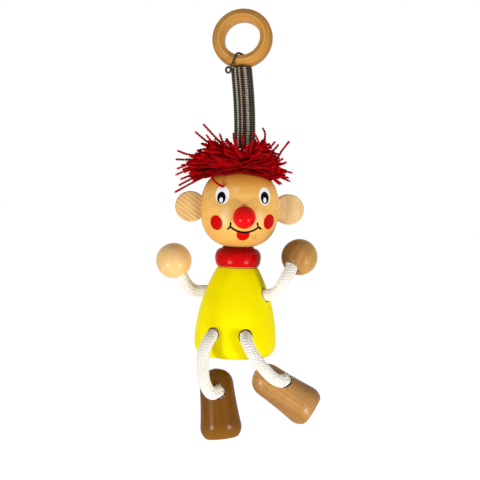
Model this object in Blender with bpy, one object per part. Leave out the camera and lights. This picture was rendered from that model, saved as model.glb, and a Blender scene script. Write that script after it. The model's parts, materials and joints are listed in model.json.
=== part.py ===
"""Wooden toy clown that hangs from a turned ring on a steel extension spring.

Metres, +Z up. The origin is the inside top of the ring's hole, where the toy is held.
The clown faces -Y, and +X is the viewer's right.
"""

from math import asin, copysign, cos, degrees, pi, radians, sin, sqrt

import bpy
from mathutils import Euler, Matrix, Vector
from mathutils.geometry import interpolate_bezier

MM = 0.001
GAP = 0.3 * MM  # between pieces that touch

# Hanging ring
RING_OUTER_DIAMETER = 35.0 * MM
RING_HOLE_DIAMETER = 21.4 * MM
RING_THICKNESS = 9.0 * MM
RING_OUTER_EDGE_RADIUS = 2.4 * MM
RING_INNER_EDGE_RADIUS = 0.9 * MM
RING_TILT = radians(8)  # the top leans away from the viewer
RING_YAW = radians(-9.5)  # its front looks a little to the viewer's left

# Spring
WIRE_DIAMETER = 1.0 * MM
COIL_DIAMETER = 12.5 * MM  # outside
COIL_CURLS = 31
CURL_POINTS = 9
CURL_GAP = 0.47 * MM  # between one curl and the next
COIL_BELOW_RING = 0.2 * MM  # from the ring's lowest line to the middle of the first curl
COIL_TOP_LEFT = 0.9 * MM  # how far its first curl stands left of the ring's middle
COIL_FOOT_RIGHT = 1.0 * MM  # and its last one right of it
COIL_BOW = 0.75 * MM  # how far its middle bulges to the right
HOOK_DEPTH = 5.5 * MM  # from the middle of the ring's wood, fore and aft
HOOK_LIFT = 0.7 * MM  # from the ring's wood to the inside of the hook's crown
HOOK_SQUARENESS = 3.8
HOOK_PLACE = radians(2)  # of its crown, round the ring from the ring's lowest place
HOOK_FRONT_SKEW = radians(17)  # how far round the ring its front side stands from its crown
HOOK_BACK_SKEW = radians(4)
HOOK_CURL_RADIUS = 1.3 * MM  # of the small curl at its free end
HOOK_CURL_PLACE = (-8.4 * MM, -29.4 * MM)  # the curl's middle, across and up
COIL_START = radians(30)  # round the coil, from the right towards the back
FOOT_LOOP_RADIUS = 3.5 * MM
FOOT_LOOP_TURN = radians(305)

# Screw eye in the head
EYE_WIRE = 1.4 * MM
EYE_HOLE = 4.0 * MM
EYE_CENTRE_ABOVE_HEAD = 4.0 * MM
EYE_SHANK_IN_HEAD = 11.0 * MM

# How the figure hangs
FIGURE_LEAN = radians(2.0)  # its top leans to the viewer's right
FIGURE_NOD = radians(3.0)  # its top leans towards the viewer
FIGURE_LEFT = 0.95 * MM  # the screw eye stands left of the ring's middle

# Head
HEAD_DIAMETER = 45.0 * MM
HEAD_HEIGHT = 45.6 * MM
HEAD_SQUARENESS = 2.5  # a ball has 2
HEAD_FLAT_DIAMETER = 15.0 * MM  # where it stands on the collar
FACE_YAW = radians(6)
EAR_DIAMETER = 17.6 * MM
EAR_THICKNESS = 5.6 * MM
EAR_FROM_HEAD_AXIS = 28.4 * MM
EAR_HEIGHT = 0.1 * MM
EAR_EDGE = 0.6 * MM
NOSE_DIAMETER = 12.7 * MM
NOSE_FROM_HEAD_CENTRE = 27.0 * MM
NOSE_DROP = radians(9.5)

# Hair
HAIR_LOCKS = 22
HAIR_REACH = 31.0 * MM
HAIR_LEFT_EXTRA = 4.5 * MM
HAIR_FRONT_LESS = 5.0 * MM
HAIR_DROOP = 7.0 * MM
HAIR_HEIGHT = 16.5 * MM
HAIR_FOOT_RADIUS = 10.5 * MM
HAIR_WELL_RADIUS = 9.4 * MM
HAIR_WELL_FOOT = 5.6 * MM

# Neck
COLLAR_DIAMETER = 26.6 * MM
COLLAR_HEIGHT = 10.5 * MM
COLLAR_SHOULDER = 3.9 * MM  # how far in its upper round-over reaches
COLLAR_FOOT_DIAMETER = 22.4 * MM
COLLAR_BOSS_DIAMETER = 18.6 * MM
COLLAR_BOSS_HEIGHT = 0.9 * MM
DOWEL_DIAMETER = 8.0 * MM
DOWEL_IN_HEAD = 9.0 * MM
DOWEL_IN_BODY = 12.0 * MM
DOWEL_CHAMFER = 0.8 * MM

# Body
BODY_HEIGHT = 51.2 * MM
BODY_TOP_DIAMETER = 23.6 * MM
BODY_WIDEST_DIAMETER = 47.2 * MM
BODY_WIDEST_DEPTH = 44.0 * MM  # below its top
BODY_BASE_DIAMETER = 36.0 * MM

# Rope limbs
ROPE_DIAMETER = 7.0 * MM
ROPE_STEP = 4.5 * MM  # along a rope, from ring to ring of its mesh
ROPE_HOLE_DIAMETER = 7.9 * MM
ROPE_HOLE_DEPTH = 11.0 * MM
ROPE_END_IN_BODY = 9.0 * MM
ARM_HOLE_DEPTHS = (14.6 * MM, 14.9 * MM)  # below the body's top, left and right
ARM_HOLE_AZIMUTHS = (radians(-95), radians(63))  # from the front, left and right
LEG_HOLE_ABOVE_BASE = 13.7 * MM
LEG_HOLE_AZIMUTHS = (radians(-33), radians(14.5))

# Hands, left and right. Their places are across, back and up from their arm's hole.
HAND_DIAMETER = 20.6 * MM
HAND_HOLE_DIAMETER = 7.9 * MM
HAND_HOLE_DEPTH = 8.0 * MM
ROPE_END_IN_HAND = 6.5 * MM
HAND_OFFSETS = (Vector((-18.9, -0.2, 17.0)) * MM, Vector((18.5, -3.0, 22.7)) * MM)
WRIST_DIRECTIONS = (Vector((0.50, -0.05, -0.87)), Vector((-0.45, -0.66, -0.60)))

# Shoes, left and right. Their holes' places are across, back and up from their leg's hole.
SHOE_LENGTH = 39.5 * MM
SHOE_HEEL_WIDTH = 19.0 * MM
SHOE_TOE_WIDTH = 23.6 * MM
SHOE_THICKNESS = 15.0 * MM
SHOE_SOLE_CUT = 1.3 * MM
SHOE_TOP_ROUNDNESS = 2.05
SHOE_SIDE_ROUNDNESS = 2.5
SHOE_WAIST = 0.45  # how far its widest line lies below its middle, as a share of its half height
SHOE_HOLE_FROM_HEEL = (12.0 * MM, 15.2 * MM)
SHOE_ASIDE = (0.3 * MM, -1.1 * MM)  # how far each shoe's middle lies beside its hole
SHOE_HOLE_DEPTH = 8.5 * MM
ROPE_END_IN_SHOE = 6.5 * MM
SHOE_OFFSETS = (Vector((3.3, -3.4, -31.5)) * MM, Vector((21.9, -1.5, -23.2)) * MM)
SHOE_TOE_DIRECTIONS = (Vector((0.14, -0.05, -1.0)), Vector((0.846, -0.03, -0.533)))
SHOE_ROLLS = (radians(-1.5), radians(-32))
SHOE_HOLE_DIRECTIONS = (Vector((0.30, 0.95, 0.02)), Vector((0.24, 0.93, -0.27)))

# The legs' ways from hip to shoe, chosen by eye, each from its own hip
LEFT_LEG_ROUTE = [
    Vector((-1.9, -5.0, -1.9)) * MM,
    Vector((-4.2, -8.3, -7.8)) * MM,
    Vector((-4.6, -9.9, -15.8)) * MM,
    Vector((-3.5, -10.9, -24.4)) * MM,
    Vector((0.2, -8.9, -31.1)) * MM,
]
RIGHT_LEG_ROUTE = [
    Vector((0.8, -5.0, -1.9)) * MM,
    Vector((3.8, -8.2, -7.4)) * MM,
    Vector((9.6, -10.0, -14.6)) * MM,
    Vector((15.6, -10.0, -20.4)) * MM,
    Vector((20.3, -7.6, -22.9)) * MM,
]

# Sizes that follow from those above
ring_mid_radius = (RING_OUTER_DIAMETER + RING_HOLE_DIAMETER) / 4
ring_width = (RING_OUTER_DIAMETER - RING_HOLE_DIAMETER) / 2
ring_turn = Matrix.Rotation(RING_YAW, 4, "Z") @ Matrix.Rotation(-RING_TILT, 4, "X")
ring_centre = ring_turn @ Vector((0, 0, -RING_HOLE_DIAMETER / 2))
ring_low = ring_centre + ring_turn @ Vector((0, 0, -RING_OUTER_DIAMETER / 2))
spring_y = (ring_centre + ring_turn @ Vector((0, 0, -ring_mid_radius))).y
coil_radius = (COIL_DIAMETER - WIRE_DIAMETER) / 2
coil_top_z = ring_low.z - COIL_BELOW_RING
eye_radius = (EYE_HOLE + EYE_WIRE) / 2
link_rise = EYE_HOLE / 2 - GAP - WIRE_DIAMETER / 2  # the loop's wire above the eye's centre
loop_centre_rise = link_rise + FOOT_LOOP_RADIUS
coil_foot_rise = loop_centre_rise + FOOT_LOOP_RADIUS
coil_length = COIL_CURLS * (WIRE_DIAMETER + CURL_GAP)
pivot = Vector((-FIGURE_LEFT, spring_y, coil_top_z - coil_length - coil_foot_rise))
figure_turn = Euler((FIGURE_NOD, FIGURE_LEAN, 0)).to_matrix().to_4x4()
head_centre_z = -(EYE_CENTRE_ABOVE_HEAD + HEAD_HEIGHT / 2)
head_flat_share = (1 - (HEAD_FLAT_DIAMETER / HEAD_DIAMETER) ** HEAD_SQUARENESS) ** (1 / HEAD_SQUARENESS)
head_foot_z = head_centre_z - HEAD_HEIGHT / 2 * head_flat_share
collar_top_z = head_foot_z - GAP
leg_hole_depth = BODY_HEIGHT - LEG_HOLE_ABOVE_BASE
body_top_z = collar_top_z - COLLAR_BOSS_HEIGHT - COLLAR_HEIGHT - GAP

# Colour, roughness and metalness
FINISHES = {
    "ring beech": ((0.55, 0.27, 0.07), 0.35, 0.0),
    "head beech": ((0.84, 0.48, 0.15), 0.30, 0.0),
    "bare beech": ((0.78, 0.49, 0.20), 0.60, 0.0),
    "pale beech": ((0.79, 0.53, 0.22), 0.45, 0.0),
    "dark beech": ((0.33, 0.17, 0.05), 0.40, 0.0),
    "brown stained beech": ((0.25, 0.10, 0.02), 0.25, 0.0),
    "dowel beech": ((0.75, 0.52, 0.26), 0.60, 0.0),
    "red paint": ((0.68, 0.0, 0.0), 0.15, 0.0),
    "yellow paint": ((0.90, 0.78, 0.0), 0.30, 0.0),
    "red wool": ((0.45, 0.0, 0.0), 0.90, 0.0),
    "white cotton": ((0.86, 0.83, 0.76), 0.90, 0.0),
    "spring steel": ((0.20, 0.18, 0.15), 0.35, 1.0),
    "zinc plate": ((0.55, 0.54, 0.50), 0.35, 1.0),
}


def clear_scene():
    for thing in list(bpy.data.objects):
        bpy.data.objects.remove(thing, do_unlink=True)


def material(name):
    found = bpy.data.materials.get(name)
    if found:
        return found
    colour, roughness, metalness = FINISHES[name]
    made = bpy.data.materials.new(name)
    made.use_nodes = True
    shader = made.node_tree.nodes["Principled BSDF"]
    shader.inputs["Base Color"].default_value = (*colour, 1)
    shader.inputs["Roughness"].default_value = roughness
    shader.inputs["Metallic"].default_value = metalness
    return made


def add_object(name, data, finish, parent=None, matrix=None):
    """An object in its parent's space, with one material."""
    made = bpy.data.objects.new(name, data)
    bpy.context.scene.collection.objects.link(made)
    if finish:
        data.materials.append(material(finish))
    made.parent = parent
    made.matrix_local = matrix or Matrix.Identity(4)
    return made


def add_empty(name, parent=None, matrix=None):
    return add_object(name, None, None, parent, matrix)


def at(place, rotation=None):
    """A matrix that turns by rotation and then moves to place."""
    return Matrix.Translation(place) @ (rotation or Matrix.Identity(4))


def facing(direction, side=Vector((1, 0, 0))):
    """A rotation whose Z points along direction and whose X is near side."""
    z = direction.normalized()
    y = z.cross(side).normalized()
    return Matrix((y.cross(z), y, z)).transposed().to_4x4()


def smooth(mesh, angle=radians(35)):
    mesh.shade_smooth()
    mesh.set_sharp_from_angle(angle=angle)
    return mesh


def arc(centre, radii, start, end, steps):
    """Points (radius, height) on an elliptical arc, angles in degrees from +radius."""
    turns = [radians(start + (end - start) * i / steps) for i in range(steps + 1)]
    return [(centre[0] + radii[0] * cos(t), centre[1] + radii[1] * sin(t)) for t in turns]


def lathe_mesh(name, profile, segments, closed=False):
    """A solid turned round Z. The profile runs down its outer side; closed makes a ring of it."""
    rings = []
    points = []
    for radius, height in profile:
        count = segments if radius > 1e-7 else 1
        rings.append(range(len(points), len(points) + count))
        points += [
            (radius * cos(2 * pi * i / segments), radius * sin(2 * pi * i / segments), height)
            for i in range(count)
        ]
    pairs = list(zip(rings, rings[1:]))
    if closed:
        pairs.append((rings[-1], rings[0]))
    faces = []
    for upper, lower in pairs:
        for i in range(segments):
            j = (i + 1) % segments
            a, b = upper[i % len(upper)], upper[j % len(upper)]
            c, d = lower[j % len(lower)], lower[i % len(lower)]
            faces.append(tuple(dict.fromkeys((a, d, c, b))))
    mesh = bpy.data.meshes.new(name)
    mesh.from_pydata(points, [], faces)
    return smooth(mesh)


def loft_mesh(name, sections):
    """A solid through loops of as many points each, capped flat at both ends."""
    count = len(sections[0])
    points = [p for section in sections for p in section]
    faces = [tuple(range(count))[::-1]]
    for k in range(len(sections) - 1):
        for i in range(count):
            j = (i + 1) % count
            a, b = k * count + i, k * count + j
            faces.append((a, b, b + count, a + count))
    faces.append(tuple(range(len(points) - count, len(points))))
    mesh = bpy.data.meshes.new(name)
    mesh.from_pydata(points, [], faces)
    return smooth(mesh)


def tube_curve(name, points, diameter, resolution):
    """A round tube with filled ends along the points."""
    curve = bpy.data.curves.new(name, "CURVE")
    curve.dimensions = "3D"
    curve.bevel_depth = diameter / 2
    curve.bevel_resolution = resolution
    curve.use_fill_caps = True
    spline = curve.splines.new("POLY")
    spline.points.add(len(points) - 1)
    for knot, point in zip(spline.points, points):
        knot.co = (*point, 1)
    return curve


def smooth_route(knots, start, end, spacing):
    """Points about spacing apart on a smooth curve through the knots, leaving and ending as told."""
    tangents = [start.normalized()]
    tangents += [(b - a).normalized() for a, b in zip(knots, knots[2:])]
    tangents.append(end.normalized())
    fine = []
    for a, b, leave, arrive in zip(knots, knots[1:], tangents, tangents[1:]):
        reach = (b - a).length / 3
        fine += interpolate_bezier(a, a + leave * reach, b - arrive * reach, b, 24)[:-1]
    fine.append(knots[-1])
    lengths = [0.0]
    for a, b in zip(fine, fine[1:]):
        lengths.append(lengths[-1] + (b - a).length)
    count = max(2, round(lengths[-1] / spacing))
    points = []
    k = 0
    for i in range(count + 1):
        goal = lengths[-1] * i / count
        while k < len(fine) - 2 and lengths[k + 1] < goal:
            k += 1
        part = (goal - lengths[k]) / max(lengths[k + 1] - lengths[k], 1e-12)
        points.append(fine[k].lerp(fine[k + 1], min(part, 1.0)))
    return points


def cut(piece, cutter):
    """Takes the cutter's shape out of the piece, and keeps the cutter as a hidden guide."""
    cutter.hide_render = True
    cutter.display_type = "WIRE"
    modifier = piece.modifiers.new(cutter.name, "BOOLEAN")
    modifier.operation = "DIFFERENCE"
    modifier.solver = "EXACT"
    modifier.object = cutter


def drill(piece, name, mouth, direction, diameter, depth, parent):
    """A blind round hole from a little outside its mouth to depth along direction."""
    outside = diameter * 0.75
    profile = [(0, depth), (diameter / 2, depth), (diameter / 2, -outside), (0, -outside)]
    matrix = at(mouth, facing(direction))
    cut(piece, add_object(name, lathe_mesh(name, profile, 16), None, parent, matrix))


def make_ring():
    inner, outer = RING_HOLE_DIAMETER / 2, RING_OUTER_DIAMETER / 2
    half = RING_THICKNESS / 2
    ease_out, ease_in = RING_OUTER_EDGE_RADIUS, RING_INNER_EDGE_RADIUS
    profile = arc((outer - ease_out, half - ease_out), (ease_out, ease_out), 90, 0, 3)
    profile += arc((outer - ease_out, ease_out - half), (ease_out, ease_out), 0, -90, 3)
    profile += arc((inner + ease_in, ease_in - half), (ease_in, ease_in), -90, -180, 3)
    profile += arc((inner + ease_in, half - ease_in), (ease_in, ease_in), 180, 90, 3)
    mesh = lathe_mesh("hanging_ring", profile, 36, closed=True)
    place = at(ring_centre, ring_turn @ Matrix.Rotation(radians(90), 4, "X"))
    add_object("hanging_ring", mesh, "ring beech", None, place)


def ring_point(around, out, front):
    """A point near the ring.

    It is given by its angle from the ring's lowest place, its distance out from the ring's
    centre, and how far it stands in front of the ring's middle plane.
    """
    return ring_centre + ring_turn @ Vector((out * sin(around), -front, -out * cos(around)))


def coil_axis(fall):
    """The middle of the coil at a distance below its first curl. It bows a little sideways."""
    part = fall / coil_length
    across = (COIL_TOP_LEFT + COIL_FOOT_RIGHT) * part - COIL_TOP_LEFT
    across += COIL_BOW * sin(pi * min(max(part, 0), 1))
    return Vector((across, spring_y, coil_top_z - fall))


def coil_point(turn):
    """A point on the coil's wire after so many turns."""
    around = COIL_START - 2 * pi * turn
    fall = coil_length * turn / COIL_CURLS
    return coil_axis(fall) + Vector((cos(around), sin(around), 0)) * coil_radius


def coil_tangent(turn):
    step = 1 / CURL_POINTS
    return (coil_point(turn + step / 2) - coil_point(turn - step / 2)).normalized()


def make_coil():
    """The close-wound body of the spring, whose ends run straight for one wire diameter.

    The points along its wire are returned.
    """
    count = COIL_CURLS * CURL_POINTS
    points = [coil_point(i / CURL_POINTS) for i in range(count + 1)]
    lead, tail = coil_tangent(0), coil_tangent(COIL_CURLS)
    points = [points[0] - lead * WIRE_DIAMETER] + points + [points[-1] + tail * WIRE_DIAMETER]
    least = min(
        (a - b).length - WIRE_DIAMETER
        for i, a in enumerate(points)
        for b in points[i + CURL_POINTS // 2 : i + 2 * CURL_POINTS]
    )
    print(f"spring_coil: least gap to itself {least / MM:.2f} mm")
    add_object("spring_coil", tube_curve("spring_coil", points, WIRE_DIAMETER, 1), "spring steel")
    return points


def hook_point(angle):
    """A point on the hook, by the angle from its crown, which is minus on the viewer's side."""
    lift = HOOK_LIFT + ring_width / 2 + WIRE_DIAMETER / 2
    across = abs(cos(angle) / lift) ** HOOK_SQUARENESS + abs(sin(angle) / HOOK_DEPTH) ** HOOK_SQUARENESS
    size = across ** (-1 / HOOK_SQUARENESS)
    around = HOOK_PLACE + (HOOK_FRONT_SKEW if angle < 0 else HOOK_BACK_SKEW) * sin(angle)
    return ring_point(around, ring_mid_radius - size * cos(angle), -size * sin(angle))


def make_hook(coil_points):
    """The hook that hangs in the ring.

    The coil's wire rises behind the ring, bends over the lowest place of its hole and comes
    down in front, where it ends in a small curl.
    """
    away = (coil_points[0] - coil_points[1]).normalized()
    start = coil_points[0] + away * GAP
    knots = [start, start + away * 2.0 * WIRE_DIAMETER]
    knots += [hook_point(radians(angle)) for angle in range(95, -96, -19)]
    across, up = HOOK_CURL_PLACE
    middle = Vector((across, knots[-1].y, up))
    for turn in range(6):
        angle = radians(20 - 50 * turn)
        back = Vector((0, 0.22 * MM * turn, 0))
        knots.append(middle + back + Vector((cos(angle), 0, sin(angle))) * HOOK_CURL_RADIUS)
    points = smooth_route(knots, away, knots[-1] - knots[-2], 1.1 * WIRE_DIAMETER)
    add_object("spring_hook", tube_curve("spring_hook", points, WIRE_DIAMETER, 1), "spring steel")


def make_foot_loop(coil_points):
    """The coil's last curl turns inward and down into a loop that hangs in the screw eye."""
    away = (coil_points[-1] - coil_points[-2]).normalized()
    start = coil_points[-1] + away * GAP
    centre = pivot + Vector((0, 0, loop_centre_rise))
    turns = [FOOT_LOOP_TURN * (1 - i / 14) - radians(55) for i in range(15)]
    loop = [centre + Vector((-cos(t), 0, -sin(t))) * FOOT_LOOP_RADIUS for t in turns]
    ahead = (loop[1] - loop[0]).normalized()
    knots = [start, start + away * WIRE_DIAMETER, loop[0] - ahead * 1.5 * MM] + loop
    points = smooth_route(knots, away, loop[-1] - loop[-2], 1.2 * WIRE_DIAMETER)
    curve = tube_curve("spring_foot_loop", points, WIRE_DIAMETER, 1)
    add_object("spring_foot_loop", curve, "spring steel")


def make_screw_eye(figure):
    """A ring of wire that closes on its own straight shank in the head."""
    turns = [radians(-70 + 335 * i / 18) for i in range(19)]
    points = [Vector((0, cos(t), sin(t))) * eye_radius for t in turns]
    shank_tip = -EYE_CENTRE_ABOVE_HEAD - EYE_SHANK_IN_HEAD
    heights = (-eye_radius - 0.6 * EYE_WIRE, -eye_radius - 1.2 * EYE_WIRE, shank_tip)
    points += [Vector((0, 0, height)) for height in heights]
    curve = tube_curve("head_screw_eye", points, EYE_WIRE, 2)
    add_object("head_screw_eye", curve, "zinc plate", figure)


def head_outline(grow, high, low, steps):
    """The head's outline, grown by a little, from one radius over its side to another below."""
    radius, height = HEAD_DIAMETER / 2 + grow, HEAD_HEIGHT / 2 + grow
    power = 2 / HEAD_SQUARENESS
    start = 90 - degrees(asin((high / radius) ** (1 / power)))
    end = -90 + degrees(asin((low / radius) ** (1 / power)))
    points = []
    for i in range(steps + 1):
        turn = radians(start + (end - start) * i / steps)
        points.append((radius * cos(turn) ** power, copysign(height * abs(sin(turn)) ** power, turn)))
    return points


def make_head(figure):
    """A squarish ball with a pilot hole at its top, and a dowel hole in a small flat at its foot."""
    pilot = EYE_WIRE / 2 + GAP
    bore = DOWEL_DIAMETER / 2 + GAP
    profile = [(0, HEAD_HEIGHT / 2 - EYE_SHANK_IN_HEAD - GAP)]
    profile += [(pilot, profile[0][1])]
    profile += head_outline(0, pilot, HEAD_FLAT_DIAMETER / 2, 16)
    foot = profile[-1][1]
    bore_top = foot + DOWEL_IN_HEAD + GAP
    profile += [(bore, foot), (bore, bore_top), (0, bore_top)]
    place = at(Vector((0, 0, head_centre_z)), Matrix.Rotation(FACE_YAW, 4, "Z"))
    return add_object("head", lathe_mesh("head", profile, 36), "head beech", figure, place)


def head_ball(name, head):
    """A hidden ball, a little larger than the head, that shapes what is glued to it."""
    mesh = lathe_mesh(name, head_outline(GAP, 0, 0, 16), 36)
    return add_object(name, mesh, None, head)


def make_ears(head, ball):
    """Two flat discs whose inner edges are hollowed to fit the head."""
    radius, half = EAR_DIAMETER / 2, EAR_THICKNESS / 2
    edge = (EAR_EDGE, EAR_EDGE)
    profile = [(0, half)]
    profile += arc((radius - EAR_EDGE, half - EAR_EDGE), edge, 90, 0, 2)
    profile += arc((radius - EAR_EDGE, EAR_EDGE - half), edge, 0, -90, 2)
    profile += [(0, -half)]
    for name, side in (("left_ear", -1), ("right_ear", 1)):
        place = at(Vector((side * EAR_FROM_HEAD_AXIS, 0, EAR_HEIGHT)), facing(Vector((0, -1, 0))))
        ear = add_object(name, lathe_mesh(name, profile, 24), "bare beech", head, place)
        cut(ear, ball)


def make_nose(head, ball):
    radius = NOSE_DIAMETER / 2
    profile = arc((0, 0), (radius, radius), 90, -90, 10)
    profile[0], profile[-1] = (0, radius), (0, -radius)
    way = Vector((0, -cos(NOSE_DROP), -sin(NOSE_DROP)))
    place = at(way * NOSE_FROM_HEAD_CENTRE, facing(way))
    nose = add_object("nose", lathe_mesh("nose", profile, 20), "red paint", head, place)
    cut(nose, ball)


def head_height(radius):
    """The head's surface above its centre at a distance from its axis."""
    share = 2 * radius / HEAD_DIAMETER
    return HEAD_HEIGHT / 2 * (1 - share**HEAD_SQUARENESS) ** (1 / HEAD_SQUARENESS)


def make_hair(figure):
    """A tuft of yarn tied on the crown: a ring of stiff locks round the spring, in three rows."""
    columns = 2 * HAIR_LOCKS
    crown = head_centre_z + HEAD_HEIGHT / 2
    lowest = head_centre_z + head_height(HAIR_FOOT_RADIUS) + GAP
    floor = head_centre_z + head_height(HAIR_WELL_FOOT) + GAP
    points = []
    for j in range(columns):
        around = 2 * pi * j / columns
        left = max(0, -cos(around))
        front = max(0, -sin(around))
        droop = HAIR_DROOP * (1 - 0.7 * front)
        reach = HAIR_REACH + HAIR_LEFT_EXTRA * left - HAIR_FRONT_LESS * front
        reach += 1.4 * MM * sin(5 * around + 1) + 0.9 * MM * sin(11 * around)
        tip, other = (1.0, 0.0) if j % 2 else (0.0, 1.0)
        rows = [
            (HAIR_WELL_FOOT, floor),
            (HAIR_WELL_RADIUS, crown + 8 * MM),
            (HAIR_WELL_RADIUS + 0.4 * MM, crown + HAIR_HEIGHT - 1.5 * MM + 2 * MM * other),
            (0.50 * reach, crown + HAIR_HEIGHT - 2 * MM),
            ((0.56 + 0.16 * tip) * reach, crown + HAIR_HEIGHT - 4.5 * MM + 8.5 * MM * tip),
            (0.66 * reach, crown + 8.5 * MM),
            ((0.72 + 0.28 * other) * reach, crown + 6 * MM + 3.5 * MM * other),
            (0.70 * reach, crown + 1.5 * MM),
            ((0.70 + 0.30 * tip) * reach, crown - 1.5 * MM - droop * tip),
            (0.52 * reach, crown - 2.2 * MM),
            (HAIR_FOOT_RADIUS, lowest),
        ]
        points += [(r * cos(around), r * sin(around), z) for r, z in rows]
    count = len(rows)
    faces = []
    for j in range(columns):
        k = (j + 1) % columns
        for i in range(count):
            n = (i + 1) % count
            faces.append((j * count + i, j * count + n, k * count + n, k * count + i))
    mesh = bpy.data.meshes.new("hair_tuft")
    mesh.from_pydata(points, [], faces)
    add_object("hair_tuft", mesh, "red wool", figure)


def make_collar(figure):
    """A turned bead with a low boss on top and a bore for the dowel."""
    radius, foot = COLLAR_DIAMETER / 2, COLLAR_FOOT_DIAMETER / 2
    boss, bore = COLLAR_BOSS_DIAMETER / 2, DOWEL_DIAMETER / 2 + GAP
    round_over = COLLAR_HEIGHT * 0.48
    middle = -COLLAR_BOSS_HEIGHT - round_over
    profile = [(bore, 0), (boss - 0.4 * MM, 0), (boss, -0.4 * MM), (boss, -COLLAR_BOSS_HEIGHT)]
    profile += arc((radius - COLLAR_SHOULDER, middle), (COLLAR_SHOULDER, round_over), 80, 0, 6)
    low = COLLAR_BOSS_HEIGHT + COLLAR_HEIGHT
    profile += arc((foot - 0.4 * MM, middle), (radius - foot + 0.4 * MM, low + middle), -12, -80, 5)
    profile += [(foot - 1.2 * MM, -low), (bore, -low)]
    mesh = lathe_mesh("collar", profile, 32, closed=True)
    add_object("collar", mesh, "red paint", figure, at(Vector((0, 0, collar_top_z))))


def make_dowel(figure):
    """The peg that joins head, collar and body."""
    radius, slope = DOWEL_DIAMETER / 2, DOWEL_CHAMFER
    top = head_foot_z + DOWEL_IN_HEAD
    low = body_top_z - DOWEL_IN_BODY
    profile = [(0, top), (radius - slope, top), (radius, top - slope)]
    profile += [(radius, low + slope), (radius - slope, low), (0, low)]
    add_object("neck_dowel", lathe_mesh("neck_dowel", profile, 20), "dowel beech", figure)


def bell_radius(depth):
    """The body's radius at a depth below its top: a parabola down to its widest place."""
    left = 1 - min(depth / BODY_WIDEST_DEPTH, 1)
    return BODY_WIDEST_DIAMETER / 2 - (BODY_WIDEST_DIAMETER - BODY_TOP_DIAMETER) / 2 * left**2


def hole_in_body(depth, azimuth):
    """Where a limb's hole meets the body's surface, and the way straight out of it."""
    out = Vector((sin(azimuth), -cos(azimuth), 0))
    return out * bell_radius(depth) + Vector((0, 0, body_top_z - depth)), out


def make_body(figure):
    """A solid bell, with a dowel hole in its top and a rounded lower edge round a flat base."""
    bore = DOWEL_DIAMETER / 2 + GAP
    top = BODY_TOP_DIAMETER / 2
    steps = 9
    profile = [(0, -DOWEL_IN_BODY - GAP), (bore, -DOWEL_IN_BODY - GAP), (bore, 0), (top - 0.7 * MM, 0)]
    for i in range(steps + 1):
        depth = BODY_WIDEST_DEPTH * i / steps
        profile.append((bell_radius(depth), -max(depth, 0.6 * MM)))
    rim = (BODY_WIDEST_DIAMETER - BODY_BASE_DIAMETER) / 2
    low = BODY_HEIGHT - BODY_WIDEST_DEPTH
    profile += arc((BODY_BASE_DIAMETER / 2, -BODY_WIDEST_DEPTH), (rim, low), -18, -90, 5)
    profile += [(0, -BODY_HEIGHT)]
    mesh = lathe_mesh("body", profile, 40)
    body = add_object("body", mesh, "yellow paint", figure, at(Vector((0, 0, body_top_z))))
    names = ("left_arm", "right_arm", "left_leg", "right_leg")
    depths = (*ARM_HOLE_DEPTHS, leg_hole_depth, leg_hole_depth)
    azimuths = (*ARM_HOLE_AZIMUTHS, *LEG_HOLE_AZIMUTHS)
    for name, depth, azimuth in zip(names, depths, azimuths):
        mouth, out = hole_in_body(depth, azimuth)
        drill(body, f"{name}_hole", mouth, -out, ROPE_HOLE_DIAMETER, ROPE_HOLE_DEPTH, figure)


def make_arm(figure, side, depth, azimuth, hand_offset, wrist):
    """A rope arm from its hole in the body to a wooden ball."""
    mouth, out = hole_in_body(depth, azimuth)
    shoulder = add_empty(f"{side}_shoulder", figure, at(mouth))
    wrist = wrist.normalized()
    hand_radius = HAND_DIAMETER / 2
    mouth_of_hand = hand_offset + wrist * hand_radius
    reach = mouth_of_hand.length * 0.42
    elbow = mouth_of_hand + wrist * reach
    knots = [-out * ROPE_END_IN_BODY]
    knots += interpolate_bezier(Vector(), out * reach, elbow, mouth_of_hand, 5)
    knots.append(mouth_of_hand - wrist * ROPE_END_IN_HAND)
    points = smooth_route(knots, out, -wrist, ROPE_STEP)
    rope = tube_curve(f"{side}_arm_rope", points, ROPE_DIAMETER, 2)
    add_object(f"{side}_arm_rope", rope, "white cotton", shoulder)
    profile = arc((0, 0), (hand_radius, hand_radius), 90, -90, 12)
    profile[0], profile[-1] = (0, hand_radius), (0, -hand_radius)
    finish = "pale beech" if side == "left" else "dark beech"
    place = at(hand_offset, facing(-wrist))
    mesh = lathe_mesh(f"{side}_hand", profile, 24)
    hand = add_object(f"{side}_hand", mesh, finish, shoulder, place)
    name = f"{side}_hand_hole"
    drill(hand, name, mouth_of_hand, -wrist, HAND_HOLE_DIAMETER, HAND_HOLE_DEPTH, shoulder)


def shoe_width(along):
    """The shoe's half width at a distance from its heel."""
    heel, toe = SHOE_HEEL_WIDTH / 2, SHOE_TOE_WIDTH / 2
    widest = SHOE_LENGTH * 0.84
    width = heel + (toe - heel) * min(along / widest, 1) ** 2
    if along < heel:
        width *= sqrt(1 - (1 - along / heel) ** 2.4)
    if along > widest:
        width *= sqrt(1 - 0.42 * ((along - widest) / (SHOE_LENGTH - widest)) ** 2.2)
    return width


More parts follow.
